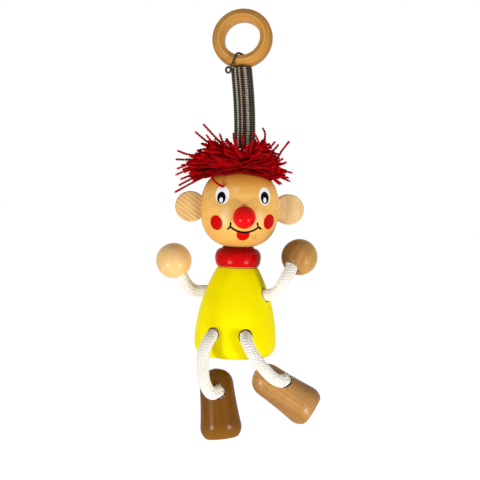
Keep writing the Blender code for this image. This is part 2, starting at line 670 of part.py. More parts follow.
def shoe_section(along):
    """One loop of the shoe, seen from its toe: a domed top over a flat sole."""
    half = SHOE_THICKNESS / 2
    width = shoe_width(along)
    widest = SHOE_LENGTH * 0.70
    height = half
    if along > widest:
        height *= 1 - 0.42 * ((along - widest) / (SHOE_LENGTH - widest)) ** 2
    if along < half:
        height *= sqrt(1 - 0.72 * (1 - along / half) ** 2.4)
    sides = 20
    loop = []
    for i in range(sides):
        turn = 2 * pi * (i + 0.5) / sides
        above = sin(turn) > 0
        power = 2 / (SHOE_TOP_ROUNDNESS if above else SHOE_SIDE_ROUNDNESS)
        reach = height * (1 + SHOE_WAIST if above else SHOE_WAIST - 1)
        x = copysign(abs(cos(turn)) ** power * width, cos(turn))
        y = abs(sin(turn)) ** power * reach - SHOE_WAIST * height
        loop.append(Vector((x, max(y, SHOE_SOLE_CUT - half), along)))
    return loop


def make_leg(figure, side, depth, azimuth, shoe_offset, route, toe, roll, hole_way, hole_at, aside):
    """A rope leg from its hole in the body to a wooden shoe that hangs by its instep."""
    mouth, out = hole_in_body(depth, azimuth)
    hip = add_empty(f"{side}_hip", figure, at(mouth))
    ankle = add_empty(f"{side}_ankle", hip, at(shoe_offset))
    way = hole_way.normalized()
    knots = [-out * ROPE_END_IN_BODY, Vector()]
    knots += route
    knots += [shoe_offset, shoe_offset + way * ROPE_END_IN_SHOE]
    points = smooth_route(knots, out, way, ROPE_STEP)
    rope = tube_curve(f"{side}_leg_rope", points, ROPE_DIAMETER, 2)
    add_object(f"{side}_leg_rope", rope, "white cotton", hip)
    stations = [0.02, 0.06, 0.14, 0.24, 0.36, 0.50, 0.64, 0.76, 0.85, 0.92, 0.97, 1.0]
    mesh = loft_mesh(f"{side}_shoe", [shoe_section(SHOE_LENGTH * s) for s in stations])
    along = toe.normalized()
    front = (Vector((0, -1, 0)) - along * -along.y).normalized()
    top = Matrix.Rotation(roll, 3, along) @ front
    turn = Matrix((top.cross(along), top, along)).transposed().to_4x4()
    heel = turn @ Vector((aside, -SHOE_THICKNESS / 2, -hole_at))
    shoe = add_object(f"{side}_shoe", mesh, "brown stained beech", ankle, at(heel, turn))
    drill(shoe, f"{side}_shoe_hole", Vector(), way, ROPE_HOLE_DIAMETER, SHOE_HOLE_DEPTH, ankle)


def make_figure():
    figure = add_empty("figure", None, at(pivot, figure_turn))
    make_screw_eye(figure)
    head = make_head(figure)
    ball = head_ball("head_guide", head)
    make_ears(head, ball)
    make_nose(head, ball)
    make_hair(figure)
    make_collar(figure)
    make_dowel(figure)
    make_body(figure)
    for i, side in enumerate(("left", "right")):
        make_arm(
            figure,
            side,
            ARM_HOLE_DEPTHS[i],
            ARM_HOLE_AZIMUTHS[i],
            HAND_OFFSETS[i],
            WRIST_DIRECTIONS[i],
        )
        make_leg(
            figure,
            side,
            leg_hole_depth,
            LEG_HOLE_AZIMUTHS[i],
            SHOE_OFFSETS[i],
            (LEFT_LEG_ROUTE, RIGHT_LEG_ROUTE)[i],
            SHOE_TOE_DIRECTIONS[i],
            SHOE_ROLLS[i],
            SHOE_HOLE_DIRECTIONS[i],
            SHOE_HOLE_FROM_HEEL[i],
            SHOE_ASIDE[i],
        )


clear_scene()
make_ring()
coil_points = make_coil()
make_hook(coil_points)
make_foot_loop(coil_points)
make_figure()
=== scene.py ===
import json
from math import asin, copysign, cos, degrees, pi, radians, sin, sqrt
from random import Random

import bpy
from mathutils import Euler, Matrix, Vector
from mathutils.geometry import interpolate_bezier
from mathutils.noise import noise


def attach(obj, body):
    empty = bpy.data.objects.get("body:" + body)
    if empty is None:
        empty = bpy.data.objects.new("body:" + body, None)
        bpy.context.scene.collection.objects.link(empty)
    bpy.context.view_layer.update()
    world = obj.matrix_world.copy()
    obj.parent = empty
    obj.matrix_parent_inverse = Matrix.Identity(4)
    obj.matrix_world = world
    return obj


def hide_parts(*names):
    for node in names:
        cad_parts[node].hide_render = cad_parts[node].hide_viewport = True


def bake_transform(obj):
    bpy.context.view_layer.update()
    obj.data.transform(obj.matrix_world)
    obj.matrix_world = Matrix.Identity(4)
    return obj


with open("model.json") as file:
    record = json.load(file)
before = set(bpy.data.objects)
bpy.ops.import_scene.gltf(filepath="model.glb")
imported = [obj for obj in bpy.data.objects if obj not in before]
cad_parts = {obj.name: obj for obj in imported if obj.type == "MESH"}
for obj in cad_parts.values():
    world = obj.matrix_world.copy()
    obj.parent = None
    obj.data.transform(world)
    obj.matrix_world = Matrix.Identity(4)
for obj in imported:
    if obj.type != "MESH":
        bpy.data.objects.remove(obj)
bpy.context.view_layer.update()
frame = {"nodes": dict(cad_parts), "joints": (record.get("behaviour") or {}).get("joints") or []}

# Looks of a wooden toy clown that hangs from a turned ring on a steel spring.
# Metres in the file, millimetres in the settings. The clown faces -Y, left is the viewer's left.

mm = 0.001
right, back, up = Vector((1, 0, 0)), Vector((0, 1, 0)), Vector((0, 0, 1))
ofColours = {"data_type": "RGBA"}  # a Mix node then takes its share at 0 and two colours at 6 and 7


def colour(code):
    parts = [int(code[i : i + 2], 16) / 255 for i in (1, 3, 5)]
    return (*[p / 12.92 if p <= 0.04045 else ((p + 0.055) / 1.055) ** 2.4 for p in parts], 1)


def addNode(tree, kind, inputs, settings=None, output=None):
    # inputs are values or sockets to link; the first output in use comes back unless one is named
    made = tree.nodes.new("ShaderNode" + kind)
    for name, value in (settings or {}).items():
        setattr(made, name, value)
    for name, value in inputs.items():
        if isinstance(value, bpy.types.NodeSocket):
            tree.links.new(value, made.inputs[name])
        else:
            made.inputs[name].default_value = value
    if output is not None:
        return made.outputs[output]
    return next(socket for socket in made.outputs if socket.enabled)


def newMaterial(name, finish):
    # finish holds the constants of the shader's own sockets
    made = bpy.data.materials.new(name)
    made.use_nodes = True
    shader = made.node_tree.nodes["Principled BSDF"]
    for socket, value in finish.items():
        shader.inputs[socket].default_value = value
    return made, made.node_tree, shader


def linkShader(tree, shader, **sockets):
    for name, socket in sockets.items():
        tree.links.new(socket, shader.inputs[name.replace("_", " ")])


def at(place, turn=None):
    return Matrix.Translation(place) @ (turn or Matrix.Identity(4))


def facing(direction, side=right):
    # a turn whose Z points along direction and whose X is near side
    z = direction.normalized()
    y = z.cross(side).normalized()
    return Matrix((y.cross(z), y, z)).transposed().to_4x4()


def soften(mesh, angle=35):
    mesh.shade_smooth()
    mesh.set_sharp_from_angle(angle=radians(angle))
    return mesh


def arc(centre, radii, start, end, steps):
    # (radius, height) points, angles in degrees from +radius
    turns = [radians(start + (end - start) * i / steps) for i in range(steps + 1)]
    return [(centre[0] + radii[0] * cos(t), centre[1] + radii[1] * sin(t)) for t in turns]


def turned(name, profile, segments, closed=False, wobble=None, slotIndex=0):
    # a solid turned round Z from millimetre points that run down its outer side
    points, rings = [], []
    for radius, height in profile:
        count = segments if radius > 1e-4 else 1
        rings.append(range(len(points), len(points) + count))
        for i in range(count):
            angle = 2 * pi * i / segments
            reach = radius + (wobble(angle, height) if wobble else 0)
            points.append(Vector((reach * cos(angle), reach * sin(angle), height)) * mm)
    pairs = list(zip(rings, rings[1:])) + ([(rings[-1], rings[0])] if closed else [])
    faces = []
    for upper, lower in pairs:
        for i in range(segments):
            j = (i + 1) % segments
            a, b = upper[i % len(upper)], upper[j % len(upper)]
            c, d = lower[j % len(lower)], lower[i % len(lower)]
            faces.append(tuple(dict.fromkeys((a, d, c, b))))
    mesh = bpy.data.meshes.new(name)
    mesh.from_pydata(points, [], faces)
    mesh.polygons.foreach_set("material_index", [slotIndex] * len(faces))
    return soften(mesh)


def newSkin():
    return {"points": [], "faces": [], "around": [], "along": [], "shade": []}


def carriedSides(path, outs=None):
    # for each point two directions across the path, without twist or near outs, and the way travelled
    side = (path[1] - path[0]).orthogonal().normalized()
    carried, travelled = [], 0.0
    for i, point in enumerate(path):
        ahead = (path[min(i + 1, len(path) - 1)] - path[max(i - 1, 0)]).normalized()
        side = outs[i] if outs else side
        side = (side - ahead * side.dot(ahead)).normalized()
        travelled += (point - path[i - 1]).length if i else 0.0
        carried.append((side, ahead.cross(side), travelled))
    return carried


def addTube(skin, path, radii, sides, shade=0.5, flat=1.0, outs=None, capped=True):
    # radii and shade are one value or a list; flat squeezes the section along its first side
    count = len(path)
    start = len(skin["points"])
    for i, (side, other, travelled) in enumerate(carriedSides(path, outs)):
        radius = radii[i] if isinstance(radii, list) else radii
        tone = shade[i] if isinstance(shade, list) else shade
        for k in range(sides):
            turn = 2 * pi * k / sides
            skin["points"].append(path[i] + (side * cos(turn) * flat + other * sin(turn)) * radius)
            skin["around"].append(k / sides)
            skin["along"].append(travelled / mm)
            skin["shade"].append(tone)
    for i in range(count - 1):
        for k in range(sides):
            j = (k + 1) % sides
            a, b = start + i * sides + k, start + i * sides + j
            skin["faces"].append((a, b, b + sides, a + sides))
    if capped:
        skin["faces"].append(tuple(range(start + sides - 1, start - 1, -1)))
        last = start + (count - 1) * sides
        skin["faces"].append(tuple(range(last, last + sides)))


def skinMesh(name, skin, angle=60):
    # the map's U is millimetres along the strand and its V goes once round it
    mesh = bpy.data.meshes.new(name)
    mesh.from_pydata(skin["points"], [], skin["faces"])
    flatMap = mesh.uv_layers.new(name="alongStrand")
    corners = []
    for loop in mesh.loops:
        corners += (skin["along"][loop.vertex_index], skin["around"][loop.vertex_index])
    flatMap.data.foreach_set("uv", corners)
    shade = mesh.attributes.new("strandShade", "FLOAT", "POINT")
    shade.data.foreach_set("value", skin["shade"])
    return soften(mesh, angle)


def smoothRoute(knots, start, end, spacing):
    # points about spacing apart on a smooth curve through the knots
    tangents = [start.normalized()]
    tangents += [(b - a).normalized() for a, b in zip(knots, knots[2:])]
    tangents.append(end.normalized())
    fine = []
    for a, b, leave, arrive in zip(knots, knots[1:], tangents, tangents[1:]):
        reach = (b - a).length / 3
        fine += interpolate_bezier(a, a + leave * reach, b - arrive * reach, b, 24)[:-1]
    fine.append(knots[-1])
    lengths = [0.0]
    for a, b in zip(fine, fine[1:]):
        lengths.append(lengths[-1] + (b - a).length)
    count = max(2, round(lengths[-1] / spacing))
    points, k = [], 0
    for i in range(count + 1):
        goal = lengths[-1] * i / count
        while k < len(fine) - 2 and lengths[k + 1] < goal:
            k += 1
        part = (goal - lengths[k]) / max(lengths[k + 1] - lengths[k], 1e-12)
        points.append(fine[k].lerp(fine[k + 1], min(part, 1.0)))
    return points


def addObject(name, data, place=None, materials=()):
    made = bpy.data.objects.new(name, data)
    bpy.context.scene.collection.objects.link(made)
    for material in materials:
        data.materials.append(material)
    made.matrix_world = place or Matrix.Identity(4)
    return made


def cutAway(piece, cutters):
    # takes the cutters' shapes out of the piece for good; a cut face keeps its cutter's slot index
    for cutter in cutters:
        cut = piece.modifiers.new(cutter.name, "BOOLEAN")
        cut.operation, cut.solver, cut.object = "DIFFERENCE", "EXACT", cutter
    bpy.context.view_layer.update()
    shown = piece.evaluated_get(bpy.context.evaluated_depsgraph_get())
    solid = bpy.data.meshes.new_from_object(shown)
    piece.modifiers.clear()
    piece.data = soften(solid)
    for cutter in cutters:
        bpy.data.objects.remove(cutter)


def fix(piece, carrier, slot, *stoodFor):
    # the piece moves with its carrier, one of the frame's bodies
    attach(piece, carrier)
    if stoodFor:
        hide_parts(*stoodFor)


# Camera, floor and lamps

view = {"place": (-1.7, -620.0, -127.1), "seenWidth": 278.4, "sensor": 36.0}
studio = {
    "white": "#FFFFFF",
    "paper": "#F4F4F4",
    "fill": 0.43,  # what the room sheds on the toy; lamps and fill together show a colour as written
    "lampPower": 2.05,
    "lampSize": 135.0,
    "lampPlaces": ((-380.0, -370.0, -410.0), (380.0, -370.0, -410.0)),
    "aim": (0.0, 0.0, -130.0),
    "floorHeight": -640.0,
    "floorSize": 8000.0,
    "floorShade": 0.15,  # how much of the toy's shadow the white floor keeps
    "floorGlow": 1.13,  # brings the unshaded floor up to white again
}


def makeCamera():
    data = bpy.data.cameras.new("camera")
    data.sensor_width = view["sensor"]
    data.lens = view["sensor"] * -view["place"][1] / view["seenWidth"]
    level = Matrix.Rotation(radians(90), 4, "X")
    bpy.context.scene.camera = addObject("camera", data, at(Vector(view["place"]) * mm, level))


def seenDirectly(tree):
    # 1 for rays that show the backdrop itself: camera, mirror and glass rays
    rays = tree.nodes.new("ShaderNodeLightPath").outputs
    seen = rays["Is Camera Ray"]
    for other in ("Is Glossy Ray", "Is Transmission Ray"):
        seen = addNode(tree, "Math", {0: seen, 1: rays[other]}, {"operation": "MAXIMUM"})
    return seen


def makeStudio():
    world = bpy.data.worlds.new("studio")
    bpy.context.scene.world = world
    world.use_nodes = True
    tree = world.node_tree
    backdrop = tree.nodes["Background"]
    backdrop.inputs["Color"].default_value = colour(studio["white"])
    inputs = {"Value": seenDirectly(tree), "To Min": studio["fill"], "To Max": 1.0}
    tree.links.new(addNode(tree, "MapRange", inputs), backdrop.inputs["Strength"])

    paper, tree, shader = newMaterial("whitePaperFloor", {"Roughness": 0.9})
    shader.inputs["Base Color"].default_value = colour(studio["paper"])
    glow = addNode(tree, "Emission", {"Color": colour(studio["white"]), "Strength": studio["floorGlow"]})
    inputs = {"Value": seenDirectly(tree), "To Max": 1 - studio["floorShade"]}
    share = addNode(tree, "MapRange", inputs)
    mixed = addNode(tree, "MixShader", {0: share, 1: shader.outputs[0], 2: glow})
    tree.links.new(mixed, tree.nodes["Material Output"].inputs["Surface"])
    half = studio["floorSize"] / 2 * mm
    height = studio["floorHeight"] * mm
    mesh = bpy.data.meshes.new("floor")
    corners = [(-half, -half, height), (half, -half, height), (half, half, height), (-half, half, height)]
    mesh.from_pydata(corners, [], [(0, 1, 2, 3)])
    addObject("floor", mesh, None, [paper])

    for i, place in enumerate(studio["lampPlaces"]):
        data = bpy.data.lights.new(f"softbox{i}", "AREA")
        data.energy, data.size = studio["lampPower"], studio["lampSize"] * mm
        way = (Vector(studio["aim"]) - Vector(place)).normalized()
        turn = way.to_track_quat("-Z", "Y").to_matrix().to_4x4()
        addObject(f"softbox{i}", data, at(Vector(place) * mm, turn))
    bpy.context.scene.view_settings.view_transform = "Standard"


makeCamera()
makeStudio()
print("camera, floor and lamps are up")

# Where the frame's bodies are

jointPlace = {joint["name"]: Vector(joint["pos_m"]) for joint in frame["joints"] if "pos_m" in joint}
hang = {"ringTilt": 8.0, "ringYaw": -9.5, "nod": 3.0, "lean": 2.0, "faceYaw": 6.0}
ringTurn = Euler((-radians(hang["ringTilt"]), 0, radians(hang["ringYaw"]))).to_matrix().to_4x4()
ringFrame = at(jointPlace["ring_turn"], ringTurn)
figureTurn = Euler((radians(hang["nod"]), radians(hang["lean"]), 0)).to_matrix().to_4x4()
figureFrame = at(jointPlace["figure_nod"], figureTurn)

# Woods

beechLooks = {
    "ringBeech": {
        "light": "#D39645", "dark": "#B07224", "fleck": "#8E5417", "bands": 0.45, "spacing": 3.1,
        "waves": 2.0, "flecks": 0.55, "grainTurn": (0, 0, 25),
        "roughness": 0.4, "shine": 0.08, "coat": 0.08, "coatRoughness": 0.22,
    },
    "headBeech": {
        "light": "#F8C36C", "dark": "#E6AB50", "fleck": "#C88632", "bands": 0.35, "spacing": 5.2,
        "waves": 2.2, "flecks": 0.4, "grainTurn": (15, 6, 26),
        "roughness": 0.4, "shine": 0.03, "coat": 0.07, "coatRoughness": 0.22,
    },
    "leftEarBeech": {
        "light": "#EEC382", "dark": "#A87A36", "fleck": "#BE914A", "bands": 0.6, "spacing": 2.2,
        "waves": 1.3, "flecks": 0.4, "grainTurn": (90, -35, 0),
        "roughness": 0.6, "shine": 0.1, "coat": 0.0, "coatRoughness": 0.22,
    },
    "rightEarBeech": {
        "light": "#F0CB94", "dark": "#D9AE6E", "fleck": "#B88B4E", "bands": 0.4, "spacing": 3.4,
        "waves": 1.2, "flecks": 0.7, "grainTurn": (0, 25, 90),
        "roughness": 0.6, "shine": 0.1, "coat": 0.0, "coatRoughness": 0.22,
    },
    "paleBallBeech": {
        "light": "#ECC380", "dark": "#D6A864", "fleck": "#B88948", "bands": 0.22, "spacing": 5.0,
        "waves": 2.0, "flecks": 0.3, "grainTurn": (-37, 101, -55),
        "roughness": 0.4, "shine": 0.05, "coat": 0.3, "coatRoughness": 0.22,
    },
    "darkBallBeech": {
        "light": "#B98546", "dark": "#855721", "fleck": "#54370F", "bands": 0.55, "spacing": 4.4,
        "waves": 1.6, "flecks": 0.6, "grainTurn": (43, 56, -2),
        "roughness": 0.4, "shine": 0.05, "coat": 0.14, "coatRoughness": 0.22,
        # painted shade on one side of the ball and painted light on the other
        "tints": ("X", ((0.0, -9.0, 0.7, "#4A2E08"), (-2.0, 8.0, 0.65, "#CC9E58"))),
    },
    "leftShoeBeech": {
        "light": "#764700", "dark": "#573500", "fleck": "#3A2202", "bands": 0.35, "spacing": 4.4,
        "waves": 1.4, "flecks": 0.5, "grainTurn": (0, 90, 0),
        "roughness": 0.5, "shine": 0.0, "coat": 0.3, "coatRoughness": 0.25,
        # painted shade towards the heel and painted light on the toe, round its highlights
        "tints": ("Z", ((14.0, 2.0, 0.35, "#4E3000"), (30.0, 38.0, 0.4, "#9A6420"))),
    },
    "rightShoeBeech": {
        "light": "#C08C4E", "dark": "#906530", "fleck": "#63380A", "bands": 0.4, "spacing": 2.6,
        "waves": 1.2, "flecks": 0.6, "grainTurn": (0, 90, 0),
        "roughness": 0.5, "shine": 0.02, "coat": 0.42, "coatRoughness": 0.3,
        # painted shade along the shoe's upper edge and, less, along its lower edge
        "tints": ("X", ((1.0, 8.5, 0.75, "#66400E"), (-6.5, -9.5, 0.5, "#7E521C"))),
    },
    "cutBeech": {
        "light": "#C79A5C", "dark": "#9E733C", "fleck": "#7E5528", "bands": 0.4, "spacing": 2.4,
        "waves": 1.5, "flecks": 0.6, "grainTurn": (0, 0, 0),
        "roughness": 0.75, "shine": 0.1, "coat": 0.0, "coatRoughness": 0.22,
    },
}
grainSize = {
    "fleckLong": 2.4,  # beech rays are 1 to 3 mm long
    "fleckAcross": 0.45,  # and 0.1 to 0.2 mm wide, drawn coarser so that they show
    "fleckFrom": 0.56,
    "fleckFull": 0.74,
    "patch": 15.0,  # a slow change of tone from one part of the board to the next
    "patchTones": (0.9, 1.06),
    "relief": 0.03,  # what the pores still show under the varnish
}


def woodTone(tree, look):
    # beech: soft year bands, short dark flecks along the grain and a slow change of tone
    place = addNode(tree, "TexCoord", {}, None, "Object")
    turn = [radians(angle) for angle in look["grainTurn"]]
    inputs = {"Vector": place, "Rotation": turn, "Scale": [1 / mm] * 3}
    grain = addNode(tree, "Mapping", inputs)  # millimetres, grain along X
    inputs = {
        "Vector": grain,
        "Scale": pi / 10 / look["spacing"],
        "Distortion": look["waves"],
        "Detail": 2.0,
        "Detail Scale": 0.8,
    }
    bands = addNode(tree, "TexWave", inputs, {"bands_direction": "Z", "wave_profile": "SAW"})
    inputs = {0: bands, 1: look["bands"]}
    bands = addNode(tree, "Math", inputs, {"operation": "MULTIPLY"})
    long, across = 1 / grainSize["fleckLong"], 1 / grainSize["fleckAcross"]
    streak = addNode(tree, "Mapping", {"Vector": grain, "Scale": (long, across, across)})
    inputs = {"Vector": streak, "Scale": 1.0, "Detail": 2.0, "Roughness": 0.6}
    fibre = addNode(tree, "TexNoise", inputs)
    inputs = {"Value": fibre, "From Min": grainSize["fleckFrom"], "From Max": grainSize["fleckFull"]}
    flecks = addNode(tree, "MapRange", {**inputs, "To Max": look["flecks"]})
    inputs = {"Vector": grain, "Scale": 1 / grainSize["patch"], "Detail": 2.0}
    patch = addNode(tree, "TexNoise", inputs)
    tone = addNode(tree, "Mix", {0: bands, 6: colour(look["light"]), 7: colour(look["dark"])}, ofColours)
    tone = addNode(tree, "Mix", {0: flecks, 6: tone, 7: colour(look["fleck"])}, ofColours)
    low, high = grainSize["patchTones"]
    inputs = {"Value": patch, "From Min": 0.3, "From Max": 0.7, "To Min": low, "To Max": high}
    gain = addNode(tree, "MapRange", inputs)
    shift = addNode(tree, "VectorMath", {0: tone, "Scale": gain}, {"operation": "SCALE"})
    return place, shift, fibre


def tintAlong(tree, place, tone, axis, tints):
    # lays a colour over the tone from one place on the axis to another, up to its share
    along = addNode(tree, "SeparateXYZ", {0: place}, None, axis)
    for start, end, share, code in tints:
        inputs = {"Value": along, "From Min": start * mm, "From Max": end * mm}
        reached = addNode(tree, "MapRange", {**inputs, "To Max": share})
        tone = addNode(tree, "Mix", {0: reached, 6: tone, 7: colour(code)}, ofColours)
    return tone


def offFrom(tree, value, middle):
    # how far a value is from the middle
    off = addNode(tree, "Math", {0: value, 1: middle}, {"operation": "SUBTRACT"})
    return addNode(tree, "Math", {0: off}, {"operation": "ABSOLUTE"})


def linesAlong(tree, long, around, lean=0.0):
    # a strand's map, and fine lines in it: their length in mm and their number round the strand
    strand = addNode(tree, "UVMap", {}, {"uv_map": "alongStrand"})
    inputs = {"Vector": strand, "Scale": (1 / long, around, 1.0), "Rotation": (0, 0, lean)}
    lines = addNode(tree, "Mapping", inputs)
    return strand, addNode(tree, "TexNoise", {"Vector": lines, "Scale": 1.0, "Detail": 3.0})


def dressSurface(tree, shader, tone, pattern, strength, deep):
    # the tone, and a relief from the pattern as deep as given in millimetres
    relief = addNode(tree, "Bump", {"Height": pattern, "Strength": strength, "Distance": deep * mm})
    linkShader(tree, shader, Base_Color=tone, Normal=relief)


def makeBeech(name, paint=None):
    # varnish keeps bare beech's flecks but gives it a low shine; a bare cut face stays dull
    look = beechLooks[name]
    finish = {"Roughness": look["roughness"], "Specular IOR Level": look["shine"]}
    finish.update({"Coat Weight": look["coat"], "Coat Roughness": look["coatRoughness"]})
    made, tree, shader = newMaterial(name, finish)
    place, tone, pores = woodTone(tree, look)
    if "tints" in look:  # painted light and shade: colours laid along one axis where the lamps light the wood or leave it in shade
        tone = tintAlong(tree, place, tone, *look["tints"])
    if paint:
        tone = paint(tree, place, tone)
    dressSurface(tree, shader, tone, pores, 0.5, grainSize["relief"])
    return made


# The face, painted on the head with a brush: places and sizes seen from the front, in millimetres

face = {
    "spotOut": 22.5,  # the spots' ellipses stand round points this far in front of the head's middle
    "spotDeep": 29.25,  # and reach this far back
    "softness": 0.14,  # width of a painted edge
    "softEdge": 3.0,  # of a painted sheen spot
    "white": "#FFFFFF",
    "black": "#020202",
    "red": "#C80000",
    # painted sheen: a pale colour where the lamps' gloss shows on the varnish
    "paintedSheen": "#FFE2B0",
    "paintedSheenShare": 0.5,
    # painted shade under the hair, orange as with the red yarn's bounced light, and painted shade at the
    # neck: from, to, share, colour
    "tints": ((7.0, 17.5, 0.72, "#F08A08"), (-8.0, -19.0, 0.5, "#C88430")),
    "knotBrown": "#A87433",
    "knotShare": 0.6,
    "knotRings": 1.745,  # from one ring of the knot to the next
    # across, up, width, height, lean in degrees
    "eyes": ((-11.9, 7.5, 7.5, 10.4, 3), (12.0, 7.5, 7.0, 10.2, -5)),
    "pupils": ((-12.4, 5.95, 4.6, 6.8, 5), (12.1, 6.6, 5.0, 7.0, -8)),
    "glints": ((-12.5, 4.6, 1.8, 3.0, 4), (12.1, 5.3, 1.9, 3.0, -6)),
    "cheeks": ((-14.6, -8.3, 6.4, 8.9, -15), (15.4, -6.85, 6.9, 9.0, 9)),
    "tongue": (0.45, -14.3, 7.5, 7.4, 0),
    "ticks": (
        (-6.95, -8.8, 1.15, 2.9, -4),
        (-7.7, -10.9, 1.2, 2.8, 34),
        (8.35, -8.4, 1.2, 2.9, -14),
        (9.8, -10.4, 1.2, 3.1, -48),
    ),
    "mouth": (0.9, -1.15, 11.9, 1.15),  # the arc's middle, radius and line width
    "mouthTop": -9.9,
    "tongueTop": 0.2,  # how far inside the arc the tongue starts
    "knot": (7.3, -15.6, 3.2, 3.6, 20),
    # painted sheen beside the nose and on the forehead
    "paintedSheenSpots": ((-10.3, -4.2, 5.0, 9.0, 15), (9.3, -4.4, 4.0, 8.0, -12), (-4.6, 10.6, 2.0, 1.6, 0)),
}


def spotMask(tree, place, across, high, width, height, lean, softness=face["softness"]):
    # 1 inside a leaning ellipse on the front of the head, 0 outside and on the back
    inputs = {
        "Vector": place,
        "Location": Vector((across, -face["spotOut"], high)) * mm,
        "Rotation": (0, radians(lean), 0),
        "Scale": Vector((width / 2, face["spotDeep"], height / 2)) * mm,
    }
    near = addNode(tree, "Mapping", inputs, {"vector_type": "TEXTURE"})
    far = addNode(tree, "VectorMath", {0: near}, {"operation": "LENGTH"})
    edge = softness * 2 / (width + height)
    inputs = {"Value": far, "From Min": 1 + edge, "From Max": 1 - edge}
    return addNode(tree, "MapRange", inputs)


def allMasks(tree, masks):
    whole = masks[0]
    for mask in masks[1:]:
        whole = addNode(tree, "Math", {0: whole, 1: mask}, {"operation": "MAXIMUM"})
    return whole


def mouthMasks(tree, place):
    # the smile's line, and what lies below it
    across, high, radius, width = face["mouth"]
    inputs = {
        "Vector": place,
        "Location": Vector((across, 0, high)) * mm,
        "Scale": (mm, 1.0, mm),
    }
    flat = addNode(tree, "Mapping", inputs, {"vector_type": "TEXTURE"})
    far = addNode(tree, "VectorMath", {0: flat}, {"operation": "LENGTH"})
    inputs = {"Value": far, "From Min": radius - face["tongueTop"], "From Max": radius}
    below = addNode(tree, "MapRange", inputs)
    off, edge = offFrom(tree, far, radius), face["softness"]
    inputs = {"Value": off, "From Min": width / 2 + edge / 2, "From Max": width / 2 - edge / 2}
    line = addNode(tree, "MapRange", inputs)
    top = face["mouthTop"] * mm
    for axis, start, end in (("Z", top + edge * mm, top), ("Y", 0.0, -mm)):
        along = addNode(tree, "SeparateXYZ", {0: place}, None, axis)
        limit = addNode(tree, "MapRange", {"Value": along, "From Min": start, "From Max": end})
        line = addNode(tree, "Math", {0: line, 1: limit}, {"operation": "MULTIPLY"})
    return line, below


def paintFace(tree, place, tone):
    def spots(*names):
        rows = [row for name in names for row in face[name]]
        return [spotMask(tree, place, *row) for row in rows]

    line, below = mouthMasks(tree, place)
    # painted shade under the hair and at the neck
    tone = tintAlong(tree, place, tone, "Z", face["tints"])
    # painted sheen
    paintedSheen = [spotMask(tree, place, *row, face["softEdge"]) for row in face["paintedSheenSpots"]]
    inputs = {0: allMasks(tree, paintedSheen), 1: face["paintedSheenShare"]}
    paintedSheen = addNode(tree, "Math", inputs, {"operation": "MULTIPLY"})
    tone = addNode(tree, "Mix", {0: paintedSheen, 6: tone, 7: colour(face["paintedSheen"])}, ofColours)
    knot = spotMask(tree, place, *face["knot"])
    inputs = {"Vector": place, "Scale": pi / 10 / (face["knotRings"] * mm), "Distortion": 3.0}
    rings = addNode(tree, "TexWave", inputs)
    for share in (rings, face["knotShare"]):
        knot = addNode(tree, "Math", {0: knot, 1: share}, {"operation": "MULTIPLY"})
    tone = addNode(tree, "Mix", {0: knot, 6: tone, 7: colour(face["knotBrown"])}, ofColours)
    tongue = spotMask(tree, place, *face["tongue"])
    tongue = addNode(tree, "Math", {0: tongue, 1: below}, {"operation": "MULTIPLY"})
    red = allMasks(tree, spots("cheeks") + [tongue])
    tone = addNode(tree, "Mix", {0: red, 6: tone, 7: colour(face["red"])}, ofColours)
    eyes, glints = allMasks(tree, spots("eyes")), allMasks(tree, spots("glints"))
    tone = addNode(tree, "Mix", {0: eyes, 6: tone, 7: colour(face["white"])}, ofColours)
    black = allMasks(tree, spots("pupils", "ticks") + [line])
    tone = addNode(tree, "Mix", {0: black, 6: tone, 7: colour(face["black"])}, ofColours)
    return addNode(tree, "Mix", {0: glints, 6: tone, 7: colour(face["white"])}, ofColours)


# The ring's bands, a painted highlight along its ridge and painted shade on its outer rounding

ring = {
    "outer": 35.0, "hole": 21.4, "thickness": 9.0, "ridgeRadius": 13.55, "ridgeRound": 0.4,
    "outerRound": (2.4, 2.0), "outerRoundAt": 1.5, "innerRound": 0.7, "innerRoundAt": 3.3,
    # a painted highlight: a light line along the ridge where the lamps glint on it
    "ridgeHighlight": "#EDBE78", "ridgeHighlightWidth": 0.5, "ridgeHighlightCore": 0.1, "ridgeHighlightShare": 0.65,
    # painted shade on the outer rounding
    "edge": "#8A5520", "shadedEdgeFrom": 15.9, "shadedEdgeShare": 0.5,
}


def paintRingHighlightAndShade(tree, place, tone):
    # painted shade darkens the outer rounding
    flat = addNode(tree, "Mapping", {"Vector": place, "Scale": (1 / mm, 1 / mm, 0)})
    far = addNode(tree, "VectorMath", {0: flat}, {"operation": "LENGTH"})
    inputs = {"Value": far, "From Min": ring["shadedEdgeFrom"], "From Max": ring["outer"] / 2}
    edge = addNode(tree, "MapRange", {**inputs, "To Max": ring["shadedEdgeShare"]})
    tone = addNode(tree, "Mix", {0: edge, 6: tone, 7: colour(ring["edge"])}, ofColours)
    # painted highlight along the ridge
    off = offFrom(tree, far, ring["ridgeRadius"])
    inputs = {"Value": off, "From Min": ring["ridgeHighlightWidth"], "From Max": ring["ridgeHighlightCore"]}
    ridgeGlint = addNode(tree, "MapRange", {**inputs, "To Max": ring["ridgeHighlightShare"]})
    return addNode(tree, "Mix", {0: ridgeGlint, 6: tone, 7: colour(ring["ridgeHighlight"])}, ofColours)


# Paint, rope, yarn and steel

